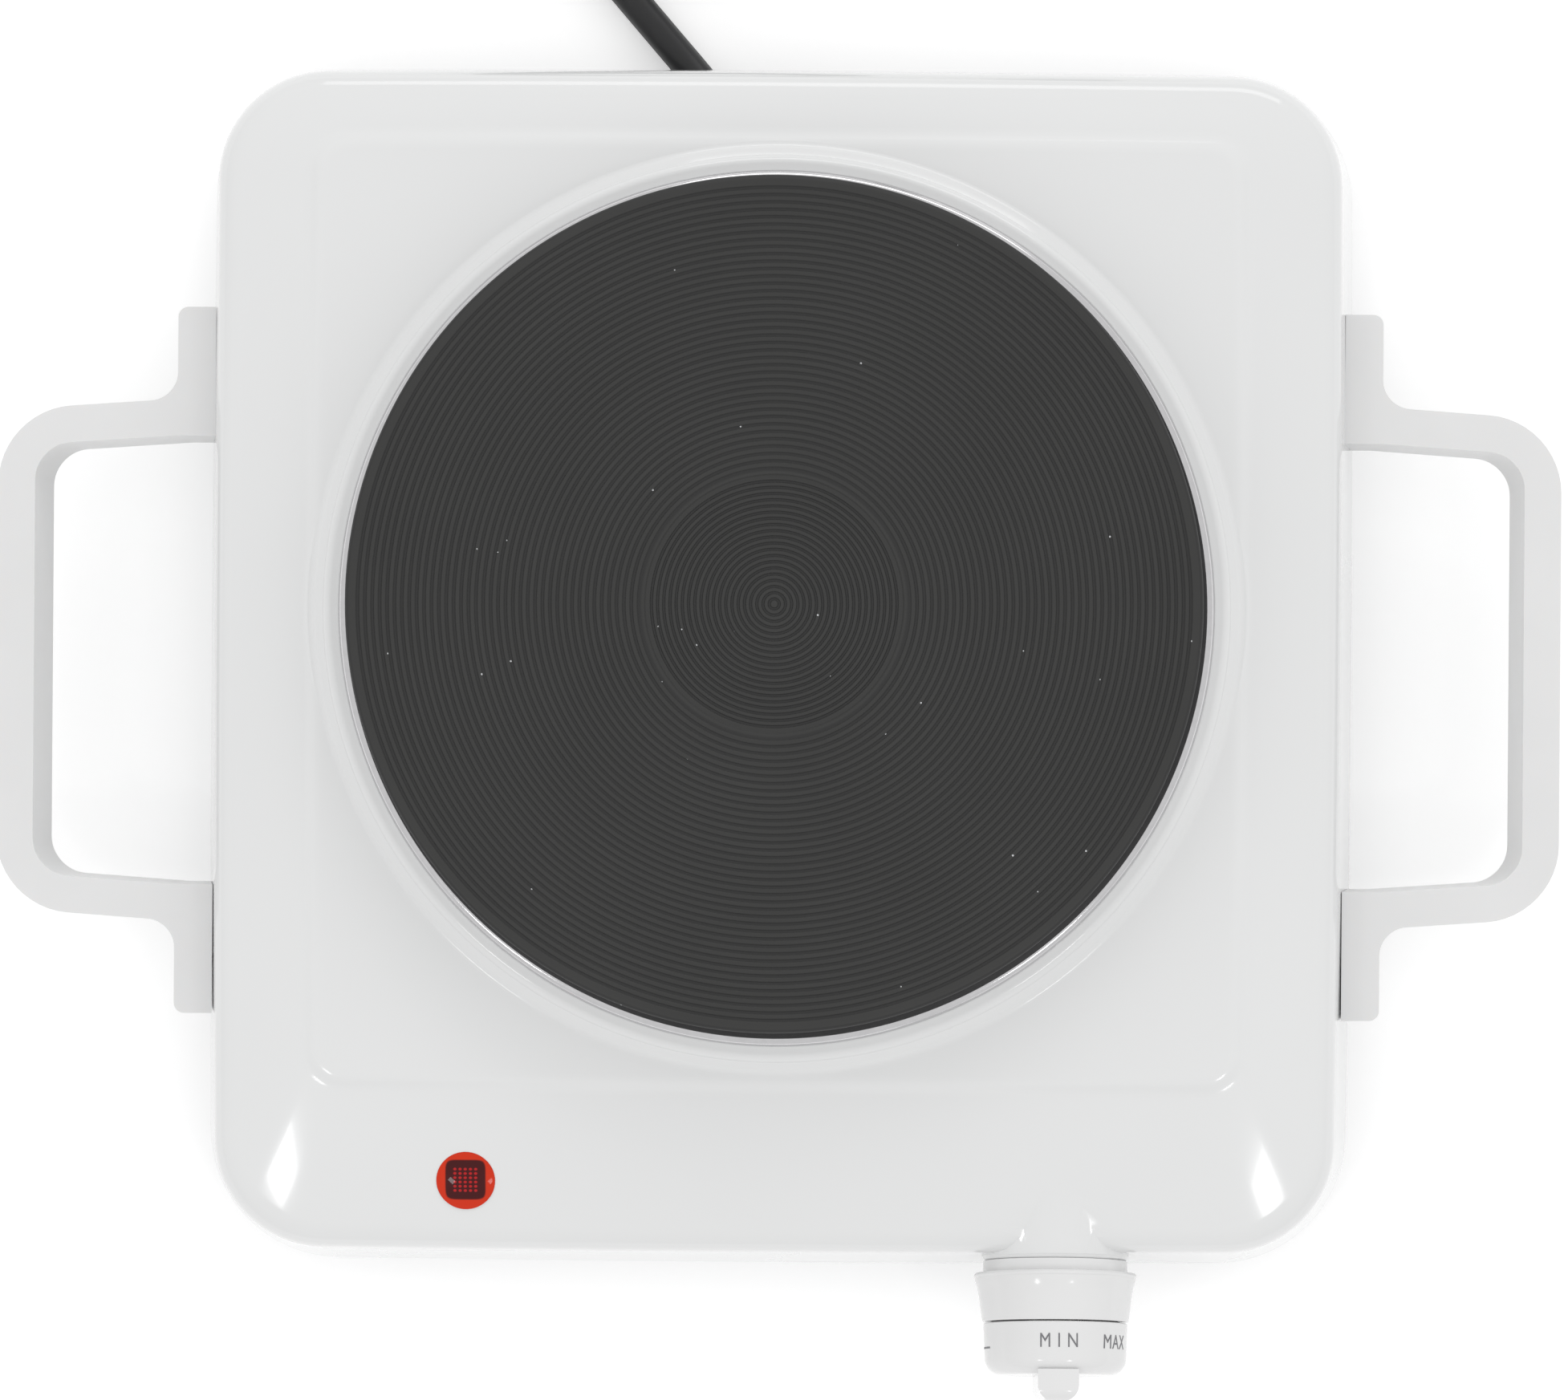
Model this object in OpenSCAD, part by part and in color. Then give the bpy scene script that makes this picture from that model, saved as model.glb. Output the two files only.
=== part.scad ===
// Single hot plate burner: pressed steel cover, cast iron cooking plate, two grip handles, tilted knob and cord.
// Millimetres, +Z up, front is -Y. The feet stand on z = 0.

/* [Overall] */
// Distance from the footprint centre back to the cover centre
hob_y = 14.55; // [0:0.05:30]
// Cover half width at its lower rim, at the widest point
cover_half_w = 131.4; // [110:0.1:160]
// Cover half depth at its lower rim, at the widest point
cover_half_d = 137.4; // [110:0.1:160]
// Height of the cover rim above the table
rim_z = 12; // [8:0.5:20]
// Height of the upper edge of the side walls
wall_top_z = 52; // [40:0.5:70]
// How far the side walls lean inwards from the rim to the upper edge
wall_lean = 7.05; // [2:0.05:15]
// Outward bow of each side between its corners
side_bow = 0.8; // [0:0.1:3]
// Corner radius of the cover at its rim
cover_corner_r = 29; // [15:0.5:45]
// Sheet thickness of the cover
sheet_t = 0.8; // [0.5:0.1:1.5]
// Height of the border where it meets the rounded outer edge
border_z = 58.6; // [50:0.1:70]
// Height lost by the border from its middle to the front
border_fall = 1.8; // [0:0.1:5]

/* [Panel and collar] */
// Half width of the raised panel
panel_half_w = 103.2; // [90:0.1:120]
// Half depth of the raised panel
panel_half_d = 105.6; // [90:0.1:120]
// Corner radius of the raised panel
panel_corner_r = 8; // [3:0.5:20]
// Distance of the panel centre behind the cover centre
panel_y = 11.4; // [0:0.1:20]
// Height of the raised panel
panel_z = 62.9; // [55:0.1:75]
// Distance of the plate opening behind the cover centre
opening_y = 11.6; // [0:0.1:20]
// How much smaller the opening in the cover is than the cooking surface
opening_inset = 2.9; // [1:0.1:6]
// Width of the round collar from the opening to its foot
collar_w = 11.6; // [8:0.1:16]
// Height of the collar top
collar_z = 66.2; // [60:0.1:75]

/* [Cooking plate] */
// Radius of the cooking surface
plate_r = 92.5; // [70:0.5:110]
// Height of the cooking surface above the table
plate_z = 77; // [65:0.5:95]
// Play between the plate body and the ring's flange
plate_body_gap = 1.5; // [0.5:0.1:4]
// Height of the plate underside
plate_under_z = 56; // [45:0.5:65]
// Radius of the shallow dish in the middle of the plate
plate_dish_r = 28; // [15:0.5:40]
// Depth of the shallow dish
plate_dish_depth = 0.4; // [0.1:0.1:2]
// Rounding of the plate edge
plate_edge_r = 1.2; // [0.5:0.1:3]
// Sideways play the plate takes in its ring
plate_play_x = -0.3; // [-1:0.1:1]
// Backward play the plate takes in its ring
plate_play_y = 0.6; // [-1:0.1:1]
// Mean radius of the inner heating channel
channel_inner_r = 43; // [30:0.5:50]
// Distance of the outer heating channel's middle from the plate body's edge
channel_edge = 17; // [14:0.5:24]
// Width of each heating channel
channel_w = 17; // [8:0.5:20]
// Height of the channel roofs
channel_top_z = 69.5; // [60:0.5:72]
// Radius of each heating coil's cross-section
coil_r = 2.6; // [1.5:0.1:4]
// Thickness of the sheet that closes the channels
element_cover_t = 1; // [0.5:0.1:2]

/* [Trim ring] */
// Width of the ring's bead
ring_bead_w = 2; // [1.5:0.1:5]
// Sheet thickness of the ring
ring_t = 0.8; // [0.5:0.1:1.5]
// Height of the rolled bead above the collar
ring_bead_h = 2.4; // [1:0.1:5]
// Gap between the plate's edge and the ring's bead
ring_bead_gap = 0.9; // [0.7:0.1:3]
// Clearance of the ring's downward flange in the opening
ring_flange_clear = 0.3; // [0.1:0.05:1]
// Lowest point of the ring's flange
ring_flange_z = 60; // [55:0.5:65]

/* [Plate clamp] */
// Width of the clamping strap
strap_w = 28; // [15:1:40]
// Thickness of the clamping strap
strap_t = 2; // [1:0.5:4]
// Height of the strap's lower face
strap_z = 47; // [40:0.5:52]
// Distance of the strap's legs outside the opening
strap_leg_gap = 2.2; // [2.1:0.1:4]
// Length of the pads that press on the collar
strap_pad = 3.2; // [2:0.1:4]
// Radius of the centre stud
stud_r = 4; // [3:0.5:6]
// Lowest point of the centre stud
stud_low_z = 36; // [25:0.5:45]
// Radial clearance of the strap hole around the stud
stud_clear = 1.2; // [0.3:0.1:2]

/* [Handles] */
// How far each handle reaches out beyond the cover's rim
grip_reach = 43.4; // [25:0.1:60]
// Half length of the tab that lies on the wall
tab_half_l = 79; // [60:0.5:100]
// Thickness of the tab outside the cover's rim
tab_t = 3.4; // [2:0.1:6]
// Half distance over the arms at the tab
arm_half_span = 58.3; // [40:0.1:75]
// Angle by which each arm closes in
arm_angle = 4; // [0:0.5:10]
// Width of the grip bar
bar_w = 8.2; // [5:0.1:15]
// Height of the grip bar
bar_h = 22; // [12:0.5:35]
// Wall thickness of the hollow grip bar
bar_wall = 2.2; // [1.5:0.1:4]
// Height of the underside of the handle
handle_z = 19; // [12:0.5:40]
// Radius of the bar's middle line at its corners
bar_bend_r = 12; // [8:0.5:20]
// Rounding of the bar's upper edges
bar_edge_r = 2.6; // [0.5:0.1:4]
// Radius between arm and tab
arm_fillet_r = 6; // [1:0.5:8]
// Clearance between tab and wall
tab_clear = 0.05; // [0:0.01:0.3]
// Distance of each handle screw from the handle's middle
handle_screw_y = 68; // [62:0.5:75]
// Height of the handle screws at the wall
handle_screw_z = 30; // [22:0.5:38]

/* [Knob] */
// Sideways position of the knob
knob_x = 62.7; // [0:0.1:90]
// Height of the knob axis at the boss face
knob_z = 43; // [30:0.5:55]
// Distance of the boss face behind the cover's front rim
boss_inset = 4.3; // [0:0.1:8]
// Upward tilt of the knob axis
knob_tilt = 10.4; // [0:0.1:20]
// Radius of the boss on the cover
boss_r = 16.2; // [12:0.1:20]
// Largest radius of the bezel
bezel_r = 18.2; // [15:0.1:22]
// Length of the bezel
bezel_l = 13.4; // [8:0.1:20]
// Gap between bezel and knob
knob_gap = 0.3; // [0.1:0.05:1]
// Distance of the knob's front face from the boss
knob_front = 25.1; // [18:0.1:35]
// Radius of the knob next to the bezel
knob_back_r = 16.05; // [12:0.05:20]
// Radius of the knob at its front
knob_front_r = 15.75; // [12:0.05:20]
// Rounding of the knob's front edge
knob_edge_r = 3.8; // [1:0.1:5]
// Width of the grip bar on the knob
grip_w = 9; // [5:0.1:14]
// Height of the grip bar over the knob face
grip_h = 6; // [3:0.1:10]
// Wall thickness of the knob
knob_wall = 2; // [1:0.1:3]
// Radius of the thermostat shaft
shaft_r = 3; // [2:0.1:4]
// Length of the flat on the shaft end
shaft_flat_l = 11; // [6:0.5:14]
// Running clearance of the shaft in its bushing
shaft_clear = 0.05; // [0.01:0.01:0.1]

/* [Lamp] */
// Sideways position of the lamp
lamp_x = -67.5; // [-90:0.1:90]
// Distance of the lamp behind the cover's front rim
lamp_inset = 23.2; // [18:0.1:28]
// Height of the cover's surface at the lamp
lamp_z = 58.55; // [50:0.05:65]
// Slope of the cover's surface at the lamp
lamp_tilt = 8.3; // [0:0.1:20]
// Radius of the lamp lens
lens_r = 6.55; // [4:0.05:10]
// Height of the lens dome
lens_h = 3.4; // [1:0.1:6]
// Radius of the lens stem
lens_stem_r = 4.9; // [3:0.1:8]

/* [Base and feet] */
// Thickness of the base plate
base_t = 1; // [0.6:0.1:2]
// Height of the base plate's underside
base_z = 12.5; // [10:0.5:18]
// Gap between base plate and cover wall
base_gap = 0.4; // [0.1:0.1:2]
// Distance of each foot's middle from the side of the rim
foot_inset_x = 33.4; // [20:0.1:50]
// Distance of each foot's middle from the front or back of the rim
foot_inset_y = 34.4; // [20:0.1:50]
// Radius of each foot at the top
foot_r = 12; // [8:0.5:16]
// Radius of the foot screw shank
foot_screw_r = 2; // [1.5:0.1:3]
// Width of each vent slot
vent_w = 3; // [2:0.5:5]
// Length of each vent slot
vent_l = 44; // [20:1:70]

/* [Cord] */
// Diameter of the mains cord
cord_d = 7.6; // [6:0.1:9]
// Height of the cord where it passes the pocket wall
cord_exit_z = 20; // [16:0.5:26]
// Sideways position of the cord exit
cord_exit_x = -2.6; // [-40:0.1:40]
// Distance of the pocket wall behind the cover centre
pocket_wall_y = 84; // [70:0.5:100]
// Height of the pocket roof
pocket_z = 29; // [25:0.5:35]
// Mid radius of the stored coil
cord_coil_r = 42; // [38:0.5:50]

/* [View] */
// Which piece to show

/* [Hidden] */
$fn = 64;
EPS = 0.01;
BIG = 400;
TILT_SPAN = 130;
CORNER_STEPS = 8;
SIDE_STEPS = 8;
STEPS = CORNER_STEPS + SIDE_STEPS;
RING_N = 4 * STEPS;

boss_face_y = cover_half_d - boss_inset;
lamp_front = cover_half_d - lamp_inset;
foot_x = cover_half_w - foot_inset_x;
foot_y = cover_half_d - foot_inset_y;
opening_r = plate_r - opening_inset;
collar_foot_r = opening_r + collar_w;
ring_flange_r = opening_r - ring_flange_clear;
plate_body_r = ring_flange_r - ring_t - plate_body_gap;
channel_outer_r = plate_body_r - channel_edge;
ring_bead_inner_r = plate_r + ring_bead_gap;
ring_outer_r = ring_bead_inner_r + ring_bead_w;
strap_leg_x = opening_r + strap_leg_gap;
handle_reach = cover_half_w + grip_reach;
tab_x = cover_half_w + tab_t;
bracket_z = base_z + base_t;
bracket_t = 1.5;
bracket_w = 58;
sin_tilt = sin(knob_tilt);
cos_tilt = cos(knob_tilt);
wall_angle = atan(wall_lean / (wall_top_z - rim_z));
ring_seat_z = collar_z + ring_t;
element_low_z = plate_under_z - element_cover_t;
coil_z = 64;
bar_mid_x = handle_reach - bar_w / 2;
bar_bend_x = bar_mid_x - bar_bend_r;
arm_start_x = tab_x - 3;
arm_start_y = arm_half_span - bar_w / 2;
tab_inner_y = arm_start_y - bar_w / 2 + 0.1;
arm_end_x = bar_bend_x + bar_bend_r * sin(arm_angle);
arm_end_y = arm_start_y - (arm_end_x - arm_start_x) * tan(arm_angle);
bar_bend_y = arm_end_y - bar_bend_r * cos(arm_angle);
handle_top_z = handle_z + bar_h;
screw_bore_r = 1.6;

// Route of the cord from the bushing to the coil, in the cover's own frame
CORD_ROUTE = [[-2.6, 80, 20], [-2.6, 88, 20], [-3, 96, 19.5], [-4.3, 103.9, 17.9], [-6.4, 111.6, 15.2],
    [-8.9, 118.2, 11.9], [-11.9, 124.4, 8.6], [-16.1, 131.3, 5.9], [-21, 137.6, 4.3], [-26.2, 143.7, 3.9],
    [-37, 156.3, 3.8], [-48, 169.2, 3.8], [-58, 181, 3.8], [-66, 194, 3.8], [-71, 207.6, 3.8], [-74.6, 222, 3.8]];
coil_x = -29;
coil_y = 226;
bundle_r = cord_d;
TAIL_ROUTE = [[-68, 250.1, 11.4], [-62.1, 259.9, 11.3], [-54.6, 268.6, 10.6], [-45.9, 276.1, 8.6],
    [-36.1, 282, 6.4], [-25.6, 286.4, 4.7], [-14.4, 289.1, 4], [-3, 290, 5.5], [6, 290, 8.8], [11, 290, 11.5],
    [16, 290, 14.2], [26, 290, 17.8], [36, 290, 19]];
plug_x = 36;
plug_y = 290;
plug_z = 19;
plug_l = 48;
pin_plug_r = 2.4;

WIRE_D = 2.6;
LIVE_ROUTE = [[-0.4, 51.6, 21.5], [2, 40, 24], [6, 22, 28], [12, -5, 30], [30, -40, 31], [46, -72, 33],
    [55, -90, 35], [56.7, 35.8 - boss_face_y, 36.4], [56.7, 30.8 - boss_face_y, 37.35]];
NEUTRAL_ROUTE = [[-4.8, 51.6, 21.5], [-8, 40, 25], [-9, 22, 28], [-12, 4, 28], [-16, -10, 28], [-18.3, -16, 31],
    [-18.3, -17.8, 36.8]];
EARTH_ROUTE = [[-2.6, 51.6, 18.3], [-2.6, 46, 17.5], [-12, 38, 16.5], [-24, 34, 16.4], [-32, 32, 16.4]];
ELEMENT_ROUTE = [[68.7, 30.8 - boss_face_y, 37.35], [68.7, 35.8 - boss_face_y, 36.4], [66, -84, 33],
    [52, -58, 29], [30, -30, 25], [13, -20, 27], [9.7, -18, 32], [9.7, -17.8, 36.8]];
LAMP_ROUTE = [[-67.5, 2 - lamp_front, 44.7], [-67, 2.8 - lamp_front, 40], [-60, -104, 34], [-46, -80, 31], [-26, -46, 29],
    [-9, -25, 28], [-4.3, -18.4, 32], [-4.3, -17.8, 36.8]];

// ---------- helper functions ----------

// Half outline point k of a rounded rectangle whose sides bow outwards
function side_point(k, hx, hy, r) =
    let (q = floor(k / STEPS), j = k - q * STEPS, turn = 90 * q,
        ax = (q % 2 == 0) ? hx : hy, ay = (q % 2 == 0) ? hy : hx,
        p = (j < CORNER_STEPS)
            ? [ax - r + r * cos(90 * j / CORNER_STEPS), ay - r + r * sin(90 * j / CORNER_STEPS)]
            : [(ax - r) * (1 - 2 * (j - CORNER_STEPS) / SIDE_STEPS), ay])
    [p[0] * cos(turn) - p[1] * sin(turn), p[0] * sin(turn) + p[1] * cos(turn)];

function bowed(p, hx, hy, bow) =
    [p[0] + sign(p[0]) * bow * (-1 + max(0, 1 - pow(p[1] / hy, 2))),
     p[1] + sign(p[1]) * bow * (-1 + max(0, 1 - pow(p[0] / hx, 2)))];

// Outline of the cover drawn in by a distance, one height for the ring with a fall towards the front
function cover_ring(inset, z, fall) =
    [for (k = [0 : RING_N - 1])
        let (hx = cover_half_w - inset, hy = cover_half_d - inset,
            p = bowed(side_point(k, hx, hy, cover_corner_r - inset * 0.7), hx, hy, side_bow))
        [p[0], p[1], z + fall * p[1] / TILT_SPAN]];

function panel_ring(inset, z) =
    [for (k = [0 : RING_N - 1])
        let (p = side_point(k, panel_half_w - inset, panel_half_d - inset, max(1, panel_corner_r - inset)))
        [p[0], p[1] + panel_y, z]];

// Direction of point k on a circle, drawn closer together opposite the corners of the panel
function round_turn(k) =
    let (q = floor(k / STEPS), j = k - q * STEPS)
    90 * q + (j < CORNER_STEPS ? 30 + 30 * j / CORNER_STEPS : 60 + 60 * (j - CORNER_STEPS) / SIDE_STEPS);

function round_ring(r, z) =
    [for (k = [0 : RING_N - 1]) [r * cos(round_turn(k)), opening_y + r * sin(round_turn(k)), z]];

function flat_list(rows) = [for (row = rows) for (p = row) p];

function band_faces(n, rows) =
    [for (i = [0 : rows - 2]) for (j = [0 : n - 1])
        let (a = i * n + j, b = i * n + (j + 1) % n)
        for (f = [[a, b, b + n], [a, b + n, a + n]]) f];

function loop_faces(n, rows) =
    [for (i = [0 : rows - 1]) for (j = [0 : n - 1])
        let (i2 = (i + 1) % rows, a = i * n + j, b = i * n + (j + 1) % n, c = i2 * n + (j + 1) % n, d = i2 * n + j)
        for (f = [[a, b, c], [a, c, d]]) f];

function cap_faces(n, rows) =
    concat([[for (j = [n - 1 : -1 : 0]) j]], [[for (j = [0 : n - 1]) (rows - 1) * n + j]]);

function unit(v) = v / norm(v);

// Ring of points around one place of a route
function tube_ring(route, i, r, sides, up) =
    let (last = len(route) - 1, t = unit(route[min(last, i + 1)] - route[max(0, i - 1)]),
        u = unit(cross(t, up)), v = cross(u, t))
    [for (k = [0 : sides - 1]) route[i] + r * (u * cos(360 * k / sides) + v * sin(360 * k / sides))];

module tube(route, d, sides, up) {
    rows = [for (i = [0 : len(route) - 1]) tube_ring(route, i, d / 2, sides, up)];
    polyhedron(points = flat_list(rows),
        faces = concat(band_faces(sides, len(rows)), cap_faces(sides, len(rows))), convexity = 8);
}

module at_hob() {
    translate([0, hob_y, 0])
        children();
}

module at_opening() {
    translate([0, hob_y + opening_y, 0])
        children();
}

module at_plate() {
    translate([plate_play_x, hob_y + opening_y + plate_play_y, 0])
        children();
}

// Knob frame: z runs out of the boss along the knob's axis, x stays sideways
module at_knob() {
    translate([knob_x, hob_y - boss_face_y, knob_z])
        rotate([90 - knob_tilt, 0, 0])
            children();
}

module at_lamp() {
    translate([lamp_x, hob_y - lamp_front, lamp_z])
        rotate([lamp_tilt, 0, 0])
            children();
}

module ring_solid(r_out, r_in, z_low, z_high) {
    translate([0, 0, z_low])
        difference() {
            cylinder(r = r_out, h = z_high - z_low);
            translate([0, 0, -1])
                cylinder(r = r_in, h = z_high - z_low + 2);
        }
}

// ---------- cover ----------

OUTER_ROWS = [
    round_ring(opening_r - 1.5, collar_z), round_ring(collar_foot_r - 4.6, collar_z),
    round_ring(collar_foot_r - 3.2, collar_z - 0.3), round_ring(collar_foot_r - 1.8, collar_z - 1.5),
    round_ring(collar_foot_r - 0.9, panel_z + 0.4), round_ring(collar_foot_r, panel_z),
    panel_ring(1.8, panel_z), panel_ring(0.9, panel_z - 0.3), panel_ring(0.2, panel_z - 1.2),
    panel_ring(-0.8, panel_z - 1.6), cover_ring(11.6, border_z, border_fall),
    cover_ring(9.3, border_z - 1.3, border_fall), cover_ring(7.7, border_z - 3.6, border_fall),
    cover_ring(wall_lean, wall_top_z, border_fall), cover_ring(0, rim_z, 0)];

// The outer rows drawn in by a sheet thickness
function inner_rows(t) = [
    cover_ring(t, rim_z, 0), cover_ring(wall_lean + t, wall_top_z - 0.1 * t, border_fall),
    cover_ring(7.7 + t, border_z - 3.6 - 0.2 * t, border_fall),
    cover_ring(9.3 + 0.6 * t, border_z - 1.3 - 0.75 * t, border_fall),
    cover_ring(11.6 + 0.2 * t, border_z - t, border_fall),
    panel_ring(-0.8 + 0.3 * t, panel_z - 1.6 - t), panel_ring(0.2 + 0.75 * t, panel_z - 1.2 - 0.75 * t),
    panel_ring(0.9 + 0.75 * t, panel_z - 0.3 - t), panel_ring(1.8 + 0.5 * t, panel_z - t),
    round_ring(collar_foot_r - 0.4 * t, panel_z - t),
    round_ring(collar_foot_r - 0.9 - 0.6 * t, panel_z + 0.4 - 0.8 * t),
    round_ring(collar_foot_r - 1.8 - 0.8 * t, collar_z - 1.5 - 0.6 * t),
    round_ring(collar_foot_r - 3.2 - 0.5 * t, collar_z - 0.3 - 0.9 * t),
    round_ring(collar_foot_r - 4.6 - 0.2 * t, collar_z - t), round_ring(opening_r - 1.5, collar_z - t)];

module cover_shell() {
    rows = concat(OUTER_ROWS, inner_rows(sheet_t));
    polyhedron(points = flat_list(rows), faces = loop_faces(RING_N, len(rows)), convexity = 10);
}

// Prism behind the middle of the sheet at the front, from the rim up to the border
module front_core() {
    mid = 2 * STEPS + CORNER_STEPS + SIDE_STEPS / 2;
    rows = inner_rows(sheet_t / 2);
    edge = [for (i = [0 : 5]) [rows[i][mid][1], rows[i][mid][2]]];
    translate([knob_x, 0, 0])
        rotate([90, 0, 90])
            linear_extrude(3 * boss_r, center = true)
                polygon(concat(edge, [[-80, rows[5][mid][2]], [-80, rim_z - 4], [edge[0][0], rim_z - 4]]));
}

module wall_screw_frame(side, y) {
    x = cover_half_w - wall_lean * (handle_screw_z - rim_z) / (wall_top_z - rim_z)
        - side_bow * pow(y / cover_half_d, 2);
    translate([side * x, y, handle_screw_z])
        rotate([0, side * (90 - wall_angle), 0])
            children();
}

module housing_cover() {
    color("white")
        at_hob()
            difference() {
                union() {
                    cover_shell();
                    difference() {
                        translate([0, -hob_y, 0])
                            at_knob()
                                translate([0, 0, -24])
                                    cylinder(r = boss_r, h = 24);
                        front_core();
                    }
                }
                translate([0, opening_y, collar_z - 10])
                    cylinder(r = opening_r, h = 20, $fn = 128);
                translate([0, -hob_y, 0])
                    at_knob() {
                        translate([0, 0, -40])
                            cylinder(r = boss_r - sheet_t, h = 40 - sheet_t);
                        translate([0, 0, -5])
                            cylinder(r = 5.2, h = 10);
                    }
                translate([0, -hob_y, 0])
                    at_lamp()
                        translate([0, 0, -6])
                            cylinder(r = lens_stem_r + 0.1, h = 12);
                for (side = [-1, 1])
                    for (y = [-handle_screw_y, handle_screw_y])
                        wall_screw_frame(side, y)
                            translate([0, 0, -4])
                                cylinder(r = screw_bore_r + 0.2, h = 8);
            }
}

module corner_brackets() {
    inset = sheet_t + wall_lean * (bracket_z + bracket_t - rim_z) / (wall_top_z - rim_z) + 0.02;
    color("silver")
        at_hob()
            translate([0, 0, bracket_z])
                difference() {
                    linear_extrude(bracket_t)
                        intersection() {
                            polygon([for (p = cover_ring(inset, 0, 0)) [p[0], p[1]]]);
                            for (sx = [-1, 1])
                                for (sy = [-1, 1])
                                    translate([sx * (foot_x + 18), sy * (foot_y + 18)])
                                        square(bracket_w, center = true);
                        }
                    for (sx = [-1, 1])
                        for (sy = [-1, 1])
                            translate([sx * foot_x, sy * foot_y, -1])
                                cylinder(r = foot_screw_r, h = bracket_t + 2);
                }
}

// ---------- base ----------

pocket_left = cord_exit_x - 34;
pocket_right = cord_exit_x + 18;
pocket_back_y = 130;

module base_outline() {
    hx = cover_half_w - sheet_t - base_gap - 0.3;
    hy = cover_half_d - sheet_t - base_gap - 0.3;
    polygon([for (k = [0 : RING_N - 1]) bowed(side_point(k, hx, hy, cover_corner_r - 1), hx, hy, side_bow)]);
}

module vent_slot() {
    hull_free = vent_l / 2 - vent_w / 2;
    linear_extrude(base_t + 2)
        union() {
            square([2 * hull_free, vent_w], center = true);
            translate([hull_free, 0])
                circle(r = vent_w / 2);
            translate([-hull_free, 0])
                circle(r = vent_w / 2);
        }
}

module base_plate() {
    color("gainsboro")
        at_hob()
            difference() {
                union() {
                    translate([0, 0, base_z])
                        linear_extrude(base_t)
                            base_outline();
                    translate([pocket_left, pocket_wall_y, base_z])
                        cube([pocket_right - pocket_left, pocket_back_y - pocket_wall_y, pocket_z - base_z]);
                }
                translate([pocket_left + base_t, pocket_wall_y + base_t, base_z - 1])
                    cube([pocket_right - pocket_left - 2 * base_t, pocket_back_y - pocket_wall_y - 2 * base_t,
                        pocket_z - base_z + 1 - base_t]);
                translate([cord_exit_x, pocket_wall_y - 1, cord_exit_z])
                    rotate([-90, 0, 0])
                        cylinder(r = 6, h = base_t + 2);
                for (sx = [-1, 1])
                    for (sy = [-1, 1])
                        translate([sx * foot_x, sy * foot_y, base_z - 1])
                            cylinder(r = foot_screw_r + 0.3, h = base_t + 2);
                for (row = [0 : 7])
                    for (sx = [-1, 1])
                        translate([sx * 52, -92 + 10 * row, base_z - 1])
                            vent_slot();
                for (sx = [-1, 1])
                    translate([cord_exit_x + sx * 9, 60, base_z - 1])
                        cylinder(r = 1.5, h = base_t + 2);
                translate([-36, 32, base_z - 1])
                    cylinder(r = 1.8, h = base_t + 2);
            }
}

module foot(sx, sy) {
    color("whitesmoke")
        at_hob()
            translate([sx * foot_x, sy * foot_y, 0])
                rotate_extrude()
                    polygon([[foot_screw_r + 0.3, 5], [4.6, 5], [4.6, 0], [foot_r - 2.6, 0], [foot_r - 1.4, 0.6],
                        [foot_r - 1, 1.6], [foot_r, base_z - 1.5], [foot_r, base_z], [foot_screw_r + 0.3, base_z]]);
}

module foot_screws() {
    color("silver")
        at_hob()
            for (sx = [-1, 1])
                for (sy = [-1, 1])
                    translate([sx * foot_x, sy * foot_y, 0])
                        rotate_extrude()
                            polygon([[0, 2.4], [3.2, 2.4], [3.8, 3], [3.8, 5], [foot_screw_r, 5],
                                [foot_screw_r, base_z + 5], [foot_screw_r - 0.6, base_z + 5.7], [0, base_z + 5.7]]);
}

// ---------- plate, ring and element ----------

module trim_ring() {
    color("lightgray")
        at_opening()
            rotate_extrude($fn = 128)
                polygon([[ring_flange_r - ring_t, ring_flange_z], [ring_flange_r, ring_flange_z],
                    [ring_flange_r, collar_z], [ring_outer_r - 0.2, collar_z], [ring_outer_r, collar_z + 0.3],
                    [ring_outer_r - 0.15, collar_z + 1.2], [ring_outer_r - 0.6, collar_z + 1.95],
                    [ring_outer_r - 1.2, collar_z + ring_bead_h], [ring_bead_inner_r + 0.2, collar_z + ring_bead_h],
                    [ring_bead_inner_r, collar_z + ring_bead_h - 0.3], [ring_bead_inner_r, ring_seat_z],
                    [ring_flange_r - ring_t, ring_seat_z]]);
}

module hotplate() {
    low = channel_inner_r - channel_w / 2;
    color("dimgray")
        at_plate()
            rotate_extrude($fn = 128)
                polygon([[stud_r, plate_under_z], [low, plate_under_z], [low, channel_top_z],
                    [channel_inner_r + channel_w / 2, channel_top_z], [channel_inner_r + channel_w / 2, plate_under_z],
                    [channel_outer_r - channel_w / 2, plate_under_z], [channel_outer_r - channel_w / 2, channel_top_z],
                    [channel_outer_r + channel_w / 2, channel_top_z], [channel_outer_r + channel_w / 2, plate_under_z],
                    [plate_body_r, plate_under_z], [plate_body_r, ring_seat_z], [plate_r - 0.5, ring_seat_z],
                    [plate_r, ring_seat_z + 0.5], [plate_r, plate_z - plate_edge_r],
                    [plate_r - 0.35, plate_z - 0.35], [plate_r - plate_edge_r, plate_z],
                    [plate_dish_r + 0.8, plate_z], [plate_dish_r, plate_z - plate_dish_depth],
                    [0, plate_z - plate_dish_depth], [0, plate_z - 9], [stud_r, plate_z - 9]]);
}

module element_fill(r) {
    color("ivory")
        at_plate()
            rotate_extrude()
                difference() {
                    translate([r - channel_w / 2, plate_under_z])
                        square([channel_w, channel_top_z - plate_under_z]);
                    translate([r, coil_z])
                        circle(r = coil_r);
                }
}

module heating_coil(r) {
    color("darkgray")
        at_plate()
            rotate_extrude()
                translate([r, coil_z])
                    circle(r = coil_r);
}

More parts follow.
